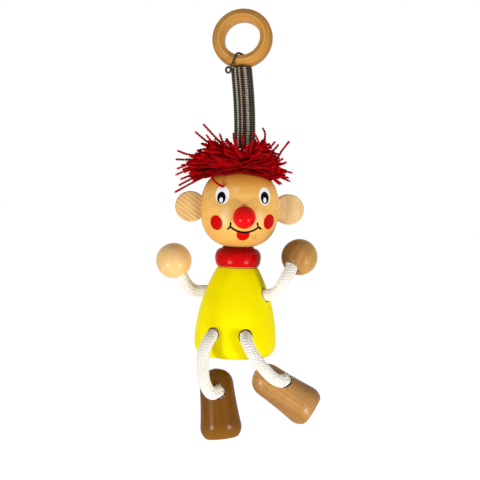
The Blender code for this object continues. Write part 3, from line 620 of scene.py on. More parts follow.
enamelLooks = {
    # painted light and shade: the nose and the collar are one red enamel, the nose's tone lighter and the
    # collar's darker
    "noseEnamel": {
        "tone": "#E80000", "worn": "#D40000", "roughness": 0.3, "shine": 0.02, "coat": 0.2, "lathe": 1.6,
        "coatRoughness": 0.2, "tints": (),
    },
    "collarEnamel": {
        "tone": "#C80000", "worn": "#B20000", "roughness": 0.3, "shine": 0.02, "coat": 0.15, "lathe": 1.6,
        # painted shade under the head, and no enamel on the wood's foot
        "coatRoughness": 0.22, "tints": ((-5.5, -0.6, 0.8, "#780000"), (-11.2, -11.3, 1.0, "#C39A66")),
    },
    "bodyEnamel": {
        "tone": "#FAEA00", "worn": "#F2DF00", "roughness": 0.4, "shine": 0.02, "coat": 0.02, "lathe": 1.1,
        "coatRoughness": 0.12, "tints": (),
    },
}


enamelSkin = {
    "cloud": 14.3,  # where the coat is a little thinner
    "peel": 2.0,  # orange peel is 1 to 3 mm across
    "relief": 0.02,
    "latheRound": 125.0,  # a lathe's line runs right round, so it is much longer than apart
}


def makeEnamel(name):
    # enamel dipped or sprayed on turned wood: even, glossy, with faint lathe lines under it
    look = enamelLooks[name]
    finish = {"Roughness": look["roughness"], "Specular IOR Level": look["shine"]}
    finish.update({"Coat Weight": look["coat"], "Coat Roughness": look["coatRoughness"]})
    made, tree, shader = newMaterial(name, finish)
    place = addNode(tree, "TexCoord", {}, None, "Object")
    across, apart = 1 / (enamelSkin["latheRound"] * mm), 1 / (look["lathe"] * mm)
    flat = {"Vector": place, "Scale": (across, across, apart)}
    lines = addNode(tree, "Mapping", flat)  # the lathe's lines, drawn over 1 mm apart so that they show
    lines = addNode(tree, "TexNoise", {"Vector": lines, "Scale": 1.0, "Detail": 3.0})
    inputs = {"Vector": place, "Scale": 1 / (enamelSkin["cloud"] * mm), "Detail": 3.0}
    cloudy = addNode(tree, "TexNoise", inputs)
    inputs = {"Value": cloudy, "From Min": 0.4, "From Max": 0.75}
    share = addNode(tree, "MapRange", inputs)
    tone = addNode(tree, "Mix", {0: share, 6: colour(look["tone"]), 7: colour(look["worn"])}, ofColours)
    tone = tintAlong(tree, place, tone, "Z", look["tints"])
    high = enamelSkin["relief"] * mm
    relief = addNode(tree, "Bump", {"Height": lines, "Strength": 0.35, "Distance": high})
    inputs = {"Vector": place, "Scale": 1 / (enamelSkin["peel"] * mm), "Detail": 1.0}
    peel = addNode(tree, "TexNoise", inputs)  # the orange peel of sprayed enamel
    relief = addNode(tree, "Bump", {"Height": peel, "Strength": 0.25, "Distance": high, "Normal": relief})
    linkShader(tree, shader, Base_Color=tone, Normal=relief)
    return made


cotton = {
    # the groove colour is painted shade for the braid's crevices
    "light": "#FFFDF8", "grey": "#F0EBDF", "grooveShade": "#DDD5C4",
    # a cotton fibre is 0.02 mm thick, so bundles of fibres are drawn in its place, coarse enough to show
    "fibre": 0.5, "fibresRound": 3.0, "fibreLean": 0.5, "fibreDepth": 0.06,
}


def makeCotton():
    # braided mercerised cotton: matt, off-white, each strand twisted from fine yarns
    made, tree, shader = newMaterial("braidedCotton", {"Roughness": 0.85, "Specular IOR Level": 0.2})
    strand, fibre = linesAlong(tree, cotton["fibre"], cotton["fibresRound"], cotton["fibreLean"])
    shade = addNode(tree, "Attribute", {}, {"attribute_name": "strandShade"}, "Fac")
    share = addNode(tree, "Math", {0: fibre, 1: shade}, {"operation": "MULTIPLY"})
    inputs = {0: share, 6: colour(cotton["light"]), 7: colour(cotton["grey"])}
    tone = addNode(tree, "Mix", inputs, ofColours)
    # painted shade on a strand's flanks, down in the grooves of the braid
    around = addNode(tree, "SeparateXYZ", {0: strand}, None, "Y")
    inputs = {"Value": offFrom(tree, around, 0.5), "From Min": 0.38, "From Max": 0.24}
    flankShade = addNode(tree, "MapRange", inputs)
    tone = addNode(tree, "Mix", {0: flankShade, 6: tone, 7: colour(cotton["grooveShade"])}, ofColours)
    dressSurface(tree, shader, tone, fibre, 0.6, cotton["fibreDepth"])
    return made


yarn = {
    "bright": "#D6000B", "deep": "#620003",
    # wool's fibres are 0.03 mm thick and drawn as bundles too
    "fibre": 0.7, "fibresRound": 4.0, "fibreLean": 0.7, "fibreDepth": 0.1,
}


def makeYarn():
    # two-ply wool: no shine, a soft halo of loose fibre, tone changing from strand to strand, with painted
    # shade towards the roots and low at the front
    made, tree, shader = newMaterial("redWoolYarn", {"Roughness": 1.0, "Specular IOR Level": 0.1})
    _, fibre = linesAlong(tree, yarn["fibre"], yarn["fibresRound"], yarn["fibreLean"])
    shade = addNode(tree, "Attribute", {}, {"attribute_name": "strandShade"}, "Fac")
    share = addNode(tree, "Math", {0: fibre, 1: 0.5, 2: shade}, {"operation": "MULTIPLY_ADD"})
    share = addNode(tree, "MapRange", {"Value": share, "From Min": 0.25, "From Max": 1.2})
    tone = addNode(tree, "Mix", {0: share, 6: colour(yarn["deep"]), 7: colour(yarn["bright"])}, ofColours)
    dressSurface(tree, shader, tone, fibre, 0.4, yarn["fibreDepth"])
    return made


steelLooks = {
    "drawnSpringSteel": {"bright": "#544C42", "dull": "#322D27", "roughness": 0.4, "streak": 3.0},
    "reflectionPaintedSpringSteel": {"bright": "#463E32", "dull": "#2E2820", "roughness": 0.46, "streak": 3.0},
    "zincPlatedSteel": {"bright": "#D6D4CE", "dull": "#A6A49C", "roughness": 0.36, "streak": 1.2},
}
drawnLines = {"round": 6.0, "depth": 0.01}  # the die's fine lines, drawn about 0.5 mm apart to show at all
# painted reflections: stripes down the coil where it mirrors the lamps and the room:
# where round the coil from the viewer, in degrees and minus on the left, how wide, and the tone
paintedReflections = (
    (-39, 16, "#B4B0A3"), (-14, 11, "#A2827A"), (17, 23, "#8C8578"), (43, 8, "#5A5448"),
    (150, 60, "#77726A"),
)


def paintReflections(tree, tone):
    # painted reflections in the coil's colour
    around = addNode(tree, "Attribute", {}, {"attribute_name": "roundCoil"}, "Fac")
    for middle, width, bright in paintedReflections:
        inputs = {"Value": offFrom(tree, around, middle), "From Min": width / 2, "From Max": width / 5}
        stripe = addNode(tree, "MapRange", inputs, {"interpolation_type": "SMOOTHSTEP"})
        tone = addNode(tree, "Mix", {0: stripe, 6: tone, 7: colour(bright)}, ofColours)
    return tone


def makeSteel(name):
    # drawn wire: a dark oily skin with drawing lines along it, or bright zinc over them
    look = steelLooks[name]
    made, tree, shader = newMaterial(name, {"Metallic": 1.0, "Roughness": look["roughness"]})
    _, lines = linesAlong(tree, look["streak"], drawnLines["round"])
    inputs = {"Value": lines, "From Min": 0.35, "From Max": 0.7}
    share = addNode(tree, "MapRange", inputs)
    tone = addNode(tree, "Mix", {0: share, 6: colour(look["bright"]), 7: colour(look["dull"])}, ofColours)
    # the coil's wire gets painted reflections
    if name == "reflectionPaintedSpringSteel":
        tone = paintReflections(tree, tone)
    dressSurface(tree, shader, tone, lines, 0.3, drawnLines["depth"])
    return made


paints = {"headBeech": paintFace, "ringBeech": paintRingHighlightAndShade}
wood = {name: makeBeech(name, paints.get(name)) for name in beechLooks}
enamel = {name: makeEnamel(name) for name in enamelLooks}
braidedCotton, woolYarn = makeCotton(), makeYarn()
springSteel, zincSteel = makeSteel("drawnSpringSteel"), makeSteel("zincPlatedSteel")
coilSteel = makeSteel("reflectionPaintedSpringSteel")
print("materials are made")

# The ring


def makeRing():
    # two flat turned bands meet in a soft ridge on each face; the edges are rounded over
    outer, inner, half = ring["outer"] / 2, ring["hole"] / 2, ring["thickness"] / 2
    ridge, blunt = ring["ridgeRadius"], ring["ridgeRound"]
    top = arc((ridge, half - blunt), (blunt, blunt), 114, 66, 6)
    edge = ring["outerRound"]
    outside = arc((outer - edge[0], ring["outerRoundAt"]), edge, 62, 0, 8)
    edge = ring["innerRound"]
    inside = arc((inner + edge, ring["innerRoundAt"]), (edge, edge), 180, 118, 8)
    front = inside + top + outside
    behind = [(radius, -height) for radius, height in reversed(front)]
    mesh = turned("turned_ring", front + behind, 128, closed=True)
    place = ringFrame @ Matrix.Rotation(radians(90), 4, "X")
    made = addObject("turned_ring", mesh, place, [wood["ringBeech"]])
    fix(made, "ring", "ring_wood", "hanging_ring")


makeRing()

# The spring: one wire from hook to foot loop, here in three pieces that meet end to end

spring = {
    "wire": 1.0, "outside": 12.5, "curls": 44, "curlPoints": 40, "start": 30.0, "bow": 0.75,
    "topLeft": 0.9, "footRight": 1.0, "belowRing": 0.2, "length": 45.57, "hookDepth": 5.5,
    "hookLift": 0.7, "squareness": 3.8, "hookPlace": 2.0, "frontSkew": 17.0, "backSkew": 4.0,
    "hookWire": 1.25,  # drawn a little thicker than the coil's, so that it shows
    "hookLeave": 2.3, "hookFrom": 95, "hookStep": -19,  # degrees round the ring's wood
    "curlSize": (1.35, 1.7), "curlPlace": (-8.4, -29.6), "curlKnots": 8, "curlFrom": 20, "curlStep": -46,
    "curlSpread": 0.2, "footLeave": 1.3, "footLead": 1.5, "footRadius": 3.5, "footTurn": 305.0,
    "footFrom": -55.0, "footRise": 4.7, "wireSides": 12, "wireStep": 0.3,
}
ringLow = ringFrame @ Vector((0, 0, -ring["outer"] / 2 * mm))
springBack = jointPlace["figure_nod"].y
coilTop = ringLow.z - spring["belowRing"] * mm
coilRadius = (spring["outside"] - spring["wire"]) / 2 * mm
coilLength = spring["length"] * mm


def ringPoint(around, out, front):
    return ringFrame @ Vector((out * sin(around), -front, -out * cos(around)))


def coilPoint(turn):
    around = radians(spring["start"]) - 2 * pi * turn
    part = turn / spring["curls"]
    sideways = (spring["topLeft"] + spring["footRight"]) * part - spring["topLeft"]
    sideways += spring["bow"] * sin(pi * part)
    middle = Vector((sideways * mm, springBack, coilTop - coilLength * part))
    return middle + Vector((cos(around), sin(around), 0)) * coilRadius


def hookPoint(angle):
    # a point by its angle round the ring's wood, minus on the viewer's side
    width = (ring["outer"] - ring["hole"]) / 2
    lift, depth = spring["hookLift"] + width / 2 + spring["wire"] / 2, spring["hookDepth"]
    power = spring["squareness"]
    size = (abs(cos(angle) / lift) ** power + abs(sin(angle) / depth) ** power) ** (-1 / power) * mm
    middle = (ring["outer"] + ring["hole"]) / 4 * mm
    skew = spring["frontSkew" if angle < 0 else "backSkew"]
    around = radians(spring["hookPlace"] + skew * sin(angle))
    return ringPoint(around, middle - size * cos(angle), -size * sin(angle))


def makeWire(name, knots, away, thickness, carrier, stoodFor):
    path = smoothRoute(knots, away, knots[-1] - knots[-2], spring["wireStep"] * mm)
    skin = newSkin()
    addTube(skin, path, thickness / 2 * mm, spring["wireSides"])
    fix(addObject(name, skinMesh(name, skin), None, [springSteel]), carrier, "spring_steel", stoodFor)


def makeSpring():
    steps = spring["curls"] * spring["curlPoints"]
    coil = [coilPoint(i / spring["curlPoints"]) for i in range(steps + 1)]
    skin = newSkin()
    addTube(skin, coil, spring["wire"] / 2 * mm, spring["wireSides"])
    made = addObject("wound_coil", skinMesh("wound_coil", skin), None, [coilSteel])
    places = []
    for i in range(steps + 1):
        around = 90 + spring["start"] - 360 * i / spring["curlPoints"]
        places += [(around + 180) % 360 - 180] * spring["wireSides"]
    made.data.attributes.new("roundCoil", "FLOAT", "POINT").data.foreach_set("value", places)
    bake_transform(made)
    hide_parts("spring_coil")

    away = (coil[0] - coil[1]).normalized()
    knots = [coil[0], coil[0] + away * spring["hookLeave"] * mm]
    angles = range(spring["hookFrom"], -spring["hookFrom"] - 1, spring["hookStep"])
    knots += [hookPoint(radians(angle)) for angle in angles]
    middle = Vector((spring["curlPlace"][0] * mm, knots[-1].y, spring["curlPlace"][1] * mm))
    wide, high = spring["curlSize"]
    for turn in range(spring["curlKnots"]):
        angle = radians(spring["curlFrom"] + spring["curlStep"] * turn)
        curl = Vector((cos(angle) * wide, 0, sin(angle) * high))
        knots.append(middle + (curl + back * spring["curlSpread"] * turn) * mm)
    makeWire("wire_hook", knots, away, spring["hookWire"], "spring_top", "spring_hook")

    away = (coil[-1] - coil[-2]).normalized()
    radius = spring["footRadius"] * mm
    middle = jointPlace["figure_nod"] + up * spring["footRise"] * mm
    turns = [radians(spring["footTurn"] * (1 - i / 14) + spring["footFrom"]) for i in range(15)]
    loop = [middle + Vector((-cos(t), 0, -sin(t))) * radius for t in turns]
    ahead = (loop[1] - loop[0]).normalized()
    leave, lead = away * spring["footLeave"] * mm, ahead * spring["footLead"] * mm
    knots = [coil[-1], coil[-1] + leave, loop[0] - lead] + loop
    makeWire("wire_foot", knots, away, spring["wire"], "spring_foot", "spring_foot_loop")


makeSpring()

# The screw eye in the crown

eye = {
    "wire": 1.4, "hole": 4.0, "aboveHead": 4.0, "shank": 11.0, "from": -70, "turn": 335,
    "neck": (0.6, 1.2),  # wire diameters below the loop where it bends into the shank
    "points": 60,
}


def makeScrewEye():
    radius = (eye["hole"] + eye["wire"]) / 2
    turns = [radians(eye["from"] + eye["turn"] * i / eye["points"]) for i in range(eye["points"] + 1)]
    points = [Vector((0, cos(t), sin(t))) * radius for t in turns]
    heights = [-radius - part * eye["wire"] for part in eye["neck"]]
    heights.append(-eye["aboveHead"] - eye["shank"])
    points += [Vector((0, 0, height)) for height in heights]
    skin = newSkin()
    addTube(skin, [point * mm for point in points], eye["wire"] / 2 * mm, 14)
    made = addObject("screw_eye", skinMesh("screw_eye", skin), figureFrame, [zincSteel])
    fix(made, "figure", "zinc_steel", "head_screw_eye")


makeScrewEye()
print("ring and spring are made")

# Head, ears and nose

head = {
    "radius": 22.5, "height": 45.6, "squareness": 2.5, "flat": 15.0, "pilot": 1.0, "bore": 4.3,
    "boreDepth": 9.3, "earDiameter": 17.6, "earThickness": 5.6, "earOut": 28.4, "earHeight": 0.1,
    "earEdge": 0.7, "nose": 12.7, "noseOut": 27.0, "noseDrop": 9.5, "seat": 0.02, "pilotSpare": 0.3,
}
glue = {
    "light": "#F6EBD2", "dark": "#E9D9B4", "lump": 1.1, "width": 0.55,
    "length": 0.86,  # the share of the ear's height that the line runs along
}
headCentre = -(eye["aboveHead"] + head["height"] / 2)
headFrame = figureFrame @ at(up * headCentre * mm, Matrix.Rotation(radians(hang["faceYaw"]), 4, "Z"))


def headOutline(grow, top, flat, steps):
    # a squarish ball's side, from one radius near its top to another near its foot
    radius, height = head["radius"] + grow, head["height"] / 2 + grow
    power = 2 / head["squareness"]
    start = 90 - degrees(asin((top / radius) ** (1 / power)))
    end = -90 + degrees(asin((flat / radius) ** (1 / power)))
    points = []
    for i in range(steps + 1):
        turn = radians(start + (end - start) * i / steps)
        points.append((radius * cos(turn) ** power, copysign(height * abs(sin(turn)) ** power, turn)))
    return points


def headHeight(radius):
    # the head's surface above its centre at a distance from its axis
    share = 1 - (radius / head["radius"]) ** head["squareness"]
    return head["height"] / 2 * share ** (1 / head["squareness"])


def headCutter():
    profile = headOutline(head["seat"], 0, 0, 60)
    return addObject("head_cutter", turned("head_cutter", profile, 96), headFrame)


def makeHead():
    deep = head["height"] / 2 - eye["shank"] - head["pilotSpare"]
    profile = [(0, deep), (head["pilot"], deep)] + headOutline(0, head["pilot"], head["flat"] / 2, 72)
    foot = profile[-1][1]
    profile += [(head["bore"], foot), (head["bore"], foot + head["boreDepth"])]
    profile += [(0, foot + head["boreDepth"])]
    mesh = turned("beech_head", profile, 128)
    made = addObject("beech_head", mesh, headFrame, [wood["headBeech"]])
    fix(made, "figure", "head_wood", "head")


def makeEars():
    # flat discs with eased edges, hollowed where they are glued on
    radius, half, edge = head["earDiameter"] / 2, head["earThickness"] / 2, head["earEdge"]
    profile = [(0, half), (radius * 0.5, half)]
    profile += arc((radius - edge, half - edge), (edge, edge), 90, 0, 6)
    profile += arc((radius - edge, edge - half), (edge, edge), 0, -90, 6)
    profile += [(radius * 0.5, -half), (0, -half)]
    for name, side in (("left", -1), ("right", 1)):
        spot = Vector((side * head["earOut"], 0, head["earHeight"])) * mm
        place = headFrame @ at(spot, facing(-back))
        mesh = turned(f"{name}_ear_disc", profile, 96)
        made = addObject(f"{name}_ear_disc", mesh, place, [wood[f"{name}EarBeech"]])
        cutAway(made, [headCutter()])
        fix(made, "figure", "bare_wood", f"{name}_ear")


def makeGlueLine():
    # dried wood glue in the corner between the right ear and the head
    dried, tree, shader = newMaterial("driedWoodGlue", {"Roughness": 0.35})
    place = addNode(tree, "TexCoord", {}, None, "Object")
    inputs = {"Vector": place, "Scale": 1 / (glue["lump"] * mm), "Detail": 2.0}
    lumps = addNode(tree, "TexNoise", inputs)
    tone = addNode(tree, "Mix", {0: lumps, 6: colour(glue["dark"]), 7: colour(glue["light"])}, ofColours)
    linkShader(tree, shader, Base_Color=tone)
    radius, half = head["earDiameter"] / 2, head["earThickness"] / 2
    path, radii = [], []
    for i in range(41):
        high = head["earHeight"] + radius * glue["length"] * (1 - i / 20)
        share = 1 - (2 * abs(high) / head["height"]) ** head["squareness"]
        reach = head["radius"] * share ** (1 / head["squareness"])
        across = sqrt(reach**2 - half**2)
        path.append(Vector((across + 0.1, -half - 0.05, high)) * mm)
        radii.append(glue["width"] / 2 * mm * (0.7 + 0.5 * noise(Vector((i * 0.35, 0, 0)))))
    skin = newSkin()
    addTube(skin, path, radii, 8)
    made = addObject("ear_glue", skinMesh("ear_glue", skin), headFrame, [dried])
    fix(made, "figure", "bare_wood")


def makeNose():
    radius = head["nose"] / 2
    drop = radians(head["noseDrop"])
    way = Vector((0, -cos(drop), -sin(drop)))
    profile = [(0, radius)] + arc((0, 0), (radius, radius), 87, -87, 40) + [(0, -radius)]
    place = headFrame @ at(way * head["noseOut"] * mm, facing(way))
    made = addObject("red_nose", turned("red_nose", profile, 80), place, [enamel["noseEnamel"]])
    cutAway(made, [headCutter()])
    fix(made, "figure", "red_enamel", "nose")


makeHead()
makeEars()
makeGlueLine()
makeNose()
frame["nodes"]["neck_dowel"].data.materials.clear()
frame["nodes"]["neck_dowel"].data.materials.append(wood["cutBeech"])
print("head is made")

# Collar and body

collar = {
    "diameter": 26.6, "height": 10.5, "shoulder": 3.9, "foot": 22.4, "boss": 18.6, "bossHeight": 0.9,
    "bore": 4.3, "widestAt": 0.48, "seated": 0.35, "bossEdge": 0.5, "footEdge": 0.4, "belowHead": 0.1,
}
body = {
    "height": 51.2, "top": 23.6, "topEdge": 0.6, "belowCollar": 0.6, "widest": 47.2, "widestDepth": 44.0,
    "base": 36.0, "bore": 4.3, "boreDepth": 12.3, "hole": 7.6, "holeDepth": 11.0, "chip": 0.25,
    "armDepths": (14.6, 14.9),
    "legHole": 8.2, "legHoleRise": 0.4,  # the ropes hang down in them
    "armAzimuths": (-95.0, 63.0), "legDepth": 37.5, "legAzimuths": (-33.0, 14.5),
}
headFoot = headCentre - headHeight(head["flat"] / 2)
collarTop = headFoot - collar["belowHead"]
bodyTop = headFoot - body["belowCollar"] - collar["bossHeight"] - collar["height"]


def makeCollar():
    radius, foot, boss = collar["diameter"] / 2, collar["foot"] / 2, collar["boss"] / 2
    roundOver = collar["height"] * collar["widestAt"]
    middle = -collar["bossHeight"] - roundOver
    low = collar["bossHeight"] + collar["height"] + collar["seated"]
    edge, footEdge, shoulder = collar["bossEdge"], collar["footEdge"], collar["shoulder"]
    profile = [(collar["bore"], 0)] + arc((boss - edge, -edge), (edge, edge), 90, 0, 5)
    profile += [(boss, -collar["bossHeight"])]
    profile += arc((radius - shoulder, middle), (shoulder, roundOver), 80, 0, 22)
    profile += arc((foot - footEdge, middle), (radius - foot + footEdge, low + middle), -4, -74, 20)
    profile += [(foot - footEdge / 2, -low), (collar["bore"], -low)]
    mesh = turned("red_collar", profile, 112, closed=True)
    place = figureFrame @ at(up * collarTop * mm)
    made = addObject("red_collar", mesh, place, [enamel["collarEnamel"]])
    fix(made, "figure", "red_enamel", "collar")


def bellRadius(depth):
    left = 1 - min(depth / body["widestDepth"], 1)
    return body["widest"] / 2 - (body["widest"] - body["top"]) / 2 * left**2


def holeInBody(depth, azimuth):
    # where a limb's hole meets the body, in the figure's axes, and the way straight out of it
    out = Vector((sin(radians(azimuth)), -cos(radians(azimuth)), 0))
    return (out * bellRadius(depth) + up * (bodyTop - depth)) * mm, out


def holeCutter(name, mouth, way, diameter, depth, chip, seed, parent):
    # a blind hole along way whose mouth flares by a ragged chip; the mesh is finer near the mouth
    radius = diameter / 2
    outside, chipDeep = diameter * 0.6, 1.2

    def ragged(angle, height):
        near = max(0.0, 1 - abs(height) / chipDeep) if height <= 0.05 else 0.0
        return near * chip * (0.6 + 1.2 * noise(Vector((cos(angle) * 1.3, sin(angle) * 1.3, seed))))

    profile = [(0, depth), (radius, depth), (radius, 0.9), (radius, 0.35), (radius, 0)]
    profile += [(radius + chip * 0.3, -0.25), (radius + chip, -outside), (0, -outside)]
    mesh = turned(name, profile, 48, wobble=ragged, slotIndex=1)
    return addObject(name, mesh, parent @ at(mouth, facing(way)))


def makeBody():
    top, base, edge = body["top"] / 2, body["base"] / 2, body["topEdge"]
    steps = 56
    profile = [(0, -body["boreDepth"]), (body["bore"], -body["boreDepth"]), (body["bore"], 0)]
    profile += arc((top - edge, -edge), (edge, edge), 90, 12, 5)
    for i in range(2, steps + 1):
        depth = body["widestDepth"] * i / steps
        profile.append((bellRadius(depth), -depth))
    rim = (body["widest"] - body["base"]) / 2
    low = body["height"] - body["widestDepth"]
    profile += arc((base, -body["widestDepth"]), (rim, low), -4, -90, 20)
    profile += [(base * 0.5, -body["height"]), (0, -body["height"])]
    mesh = turned("yellow_bell", profile, 144)
    place = figureFrame @ at(up * bodyTop * mm)
    made = addObject("yellow_bell", mesh, place, [enamel["bodyEnamel"], wood["cutBeech"]])
    depths = (*body["armDepths"], body["legDepth"], body["legDepth"])
    azimuths = (*body["armAzimuths"], *body["legAzimuths"])
    cutters = []
    for i, (depth, azimuth) in enumerate(zip(depths, azimuths)):
        mouth, out = holeInBody(depth, azimuth)
        wide, rise = (body["hole"], 0) if i < 2 else (body["legHole"], body["legHoleRise"])
        sizes = (wide, body["holeDepth"], body["chip"], i * 3.7)
        mouth += up * rise * mm
        cutters.append(holeCutter(f"limb_hole_{i}", mouth, -out, *sizes, figureFrame))
    cutAway(made, cutters)
    fix(made, "figure", "yellow_enamel", "body")


makeCollar()
makeBody()
print("collar and body are made")

# Limbs: braided rope glued into the body, the hands and the shoes

rope = {
    "diameter": 7.0, "strands": 12, "strandWidth": 1.26, "strandThickness": 0.8, "lift": 0.34,
    "strandSides": 8, "coreSides": 14, "coreStep": 4, "dwell": 1.25,  # how long a strand stays on top
    "cordLeast": 6.0,  # diameters; a shorter rope doesn't count as a cord
    "inBody": 9.0, "inHand": 6.5, "inShoe": 6.5, "step": 0.36, "bendFrom": -1.0, "bendTo": 8.0,
}
arms = {
    "hand": 20.6, "hole": 7.6, "holeDepth": 8.0, "bow": 0.42, "sags": (1.2, 0.0), "chips": (0.1, 0.7),
    "offsets": ((-18.9, -0.2, 17.0), (18.5, -3.0, 22.7)),  # a hand's middle from its hole in the body
    "wrists": ((0.50, -0.05, -0.87), (-0.45, -0.66, -0.60)),  # the way out of the hand's hole
}
legs = {
    "offsets": ((3.3, -3.4, -31.5), (21.9, -1.5, -23.2)),  # the shoe's hole from the body's
    "toes": ((0.14, -0.05, -1.0), (0.846, -0.03, -0.533)),  # the way from heel to toe
    "rolls": (-1.5, -32.0),  # the shoe's turn about it, in degrees
    "holeWays": ((0.30, 0.95, 0.02), (0.24, 0.93, -0.27)),  # the way into the shoe's hole
    "holeFromHeel": (12.0, 15.2),
    "asides": (0.3, -1.1),  # how far the heel is off the hole, sideways
    # the ropes' ways from hip to shoe, each given from its own hip
    "routes": (
        ((-1.9, -5.0, -1.9), (-4.2, -8.3, -7.8), (-4.6, -9.9, -15.8), (-3.5, -10.9, -24.4),
         (0.2, -8.9, -31.1)),
        ((0.8, -5.0, -1.9), (3.8, -8.2, -7.4), (9.6, -10.0, -14.6), (15.6, -10.0, -20.4),
         (20.3, -7.6, -22.9)),
    ),
}
shoe = {
    "length": 39.5, "heelWidth": 19.0, "toeWidth": 23.6, "thickness": 15.0, "soleCut": 1.3,
    "topRoundness": 2.05, "sideRoundness": 2.4, "waist": 0.45,  # its widest line lies below its middle
    "hole": 8.3, "holeOn": 0.4, "holeDepth": 8.5, "stations": 72, "sides": 64, "chip": 0.4,
    # shares of the length where it is widest and highest, and what its ends lose of width and height
    "widest": 0.84, "toeNarrows": 0.42, "highest": 0.78, "heelHeight": 0.9, "toeDrop": 0.46,
    "heelDrop": 0.72, "toeRound": 1.0, "toeEase": 0.07,
}


def braidRope(name, path):
    # a tubular braid, strands going two over and two under, round a plain core
    skin = newSkin()
    count = rope["strands"]
    middle = (rope["diameter"] - rope["strandThickness"]) / 2 - rope["lift"]
    turnLength = 2 * pi * middle * mm  # one turn for each circumference: 45 degrees
    carried = carriedSides(path)
    draw = Random(name)
    for way in (1, -1):
        for k in range(count):
            strand, outs = [], []
            for point, (side, other, far) in zip(path, carried):
                turns = far / turnLength
                angle = 2 * pi * (k / count + way * turns)
                crossing = 2 * count * turns
                phase = 2 * k + crossing if way > 0 else 2 * k - crossing
                over = way * cos(pi / 2 * (phase - 0.5)) * rope["dwell"]
                reach = (middle + rope["lift"] * max(-1.0, min(1.0, over))) * mm
                out = side * cos(angle) + other * sin(angle)
                strand.append(point + out * reach)
                outs.append(out)
            width = rope["strandWidth"] / 2 * mm
            flat = rope["strandThickness"] / rope["strandWidth"]
            addTube(skin, strand, width, rope["strandSides"], draw.uniform(0.3, 1.0), flat, outs)
    core = middle - rope["lift"] - 0.1
    addTube(skin, path[:: rope["coreStep"]] + [path[-1]], core * mm, rope["coreSides"], 1.0)
    return addObject(name, skinMesh(name, skin, 70), None, [braidedCotton])


def bendShares(path):
    # 0 where a ring of the rope stays with the body and 1 where it moves with the limb
    shares, travelled = [], -rope["inBody"] - rope["bendFrom"]
    for i, point in enumerate(path):
        travelled += (point - path[i - 1]).length / mm if i else 0.0
        part = min(1.0, max(0.0, travelled / (rope["bendTo"] - rope["bendFrom"])))
        shares.append(part * part * (3 - 2 * part))
    strand = [share for share in shares for _ in range(rope["strandSides"])]
    core = shares[:: rope["coreStep"]] + [shares[-1]]
    return strand * 2 * rope["strands"] + [share for share in core for _ in range(rope["coreSides"])]


def finishRope(made, path, side, part):
    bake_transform(made)
    bendShares(path)
    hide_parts(f"{side}_{part}_rope")


threads = {"out": (3.1, 3.6), "sunk": 0.6, "long": (0.9, 2.1), "thick": (0.12, 0.2)}


def addThreads(name, mouth, way, seed, count, spread, aim, carrier):
    # cut ends of the rope's yarns that stand out of a hole round the rope
    skin = newSkin()
    draw = Random(seed)
    side = way.orthogonal().normalized()
    other = way.cross(side)
    for _ in range(count):
        lean = aim + Vector((draw.gauss(0, spread), draw.gauss(0, spread), draw.gauss(0, spread)))
        lean = (lean - way * lean.dot(way)).normalized()
        start = mouth + lean * draw.uniform(*threads["out"]) * mm + way * threads["sunk"] * mm
        long = draw.uniform(*threads["long"]) * mm
        mid = start - way * long * draw.uniform(0.3, 0.5) + lean * long * draw.uniform(0.1, 0.4)
        end = mid - way * long * draw.uniform(0.0, 0.3) + lean * long * draw.uniform(0.3, 0.7)
        end += other * draw.gauss(0, 0.3) * long
        path = interpolate_bezier(start, mid, mid, end, 9)
        addTube(skin, path, draw.uniform(*threads["thick"]) * mm, 5, draw.uniform(0.2, 0.8))
    made = addObject(name, skinMesh(name, skin), None, [braidedCotton])
    fix(made, carrier, "cotton_rope")


def makeArm(i, side):
    mouth, out = holeInBody(body["armDepths"][i], body["armAzimuths"][i])
    wrist = Vector(arms["wrists"][i]).normalized()
    hand = mouth + Vector(arms["offsets"][i]) * mm
    handMouth = hand + wrist * arms["hand"] / 2 * mm
    reach = (handMouth - mouth).length * arms["bow"]
    knots = [mouth - out * rope["inBody"] * mm]
    sag = up * -arms["sags"][i] * mm
    bends = (mouth + out * reach + sag, handMouth + wrist * reach + sag)
    knots += interpolate_bezier(mouth, *bends, handMouth, 5)
    knots.append(handMouth - wrist * rope["inHand"] * mm)
    path = [figureFrame @ p for p in smoothRoute(knots, out, -wrist, rope["step"] * mm)]
    made = braidRope(f"{side}_arm_braid", path)
    finishRope(made, path, side, "arm")
    radius = arms["hand"] / 2
    profile = [(0, radius)] + arc((0, 0), (radius, radius), 87, -87, 56) + [(0, -radius)]
    finish = wood["paleBallBeech" if side == "left" else "darkBallBeech"]
    mesh = turned(f"{side}_hand_ball", profile, 96)
    mesh.transform((figureFrame @ facing(-wrist)).to_3x3().to_4x4())
    ball = addObject(f"{side}_hand_ball", mesh, at(figureFrame @ hand), [finish, wood["cutBeech"]])
    sizes = (arms["hole"], arms["holeDepth"], arms["chips"][i], 5.0 + i)
    cutAway(ball, [holeCutter("hand_hole", handMouth, -wrist, *sizes, figureFrame)])
    fix(ball, f"{side}_arm", "bare_wood" if side == "left" else "dark_wood", f"{side}_hand")
    if side == "right":
        place, straight = figureFrame @ handMouth, figureFrame.to_3x3() @ -wrist
        aim = Vector((-0.7, -0.6, 0.1))
        addThreads("right_hand_threads", place, straight, 4, 16, 0.5, aim, "right_arm")


def shoeWidth(along):
    heel, toe = shoe["heelWidth"] / 2, shoe["toeWidth"] / 2
    widest = shoe["length"] * shoe["widest"]
    width = heel + (toe - heel) * min(along / widest, 1) ** 2
    if along < heel:
        width *= sqrt(1 - (1 - along / heel) ** 2.4)
    if along > widest:
        width *= sqrt(1 - shoe["toeNarrows"] * ((along - widest) / (shoe["length"] - widest)) ** 2.2)
    return width


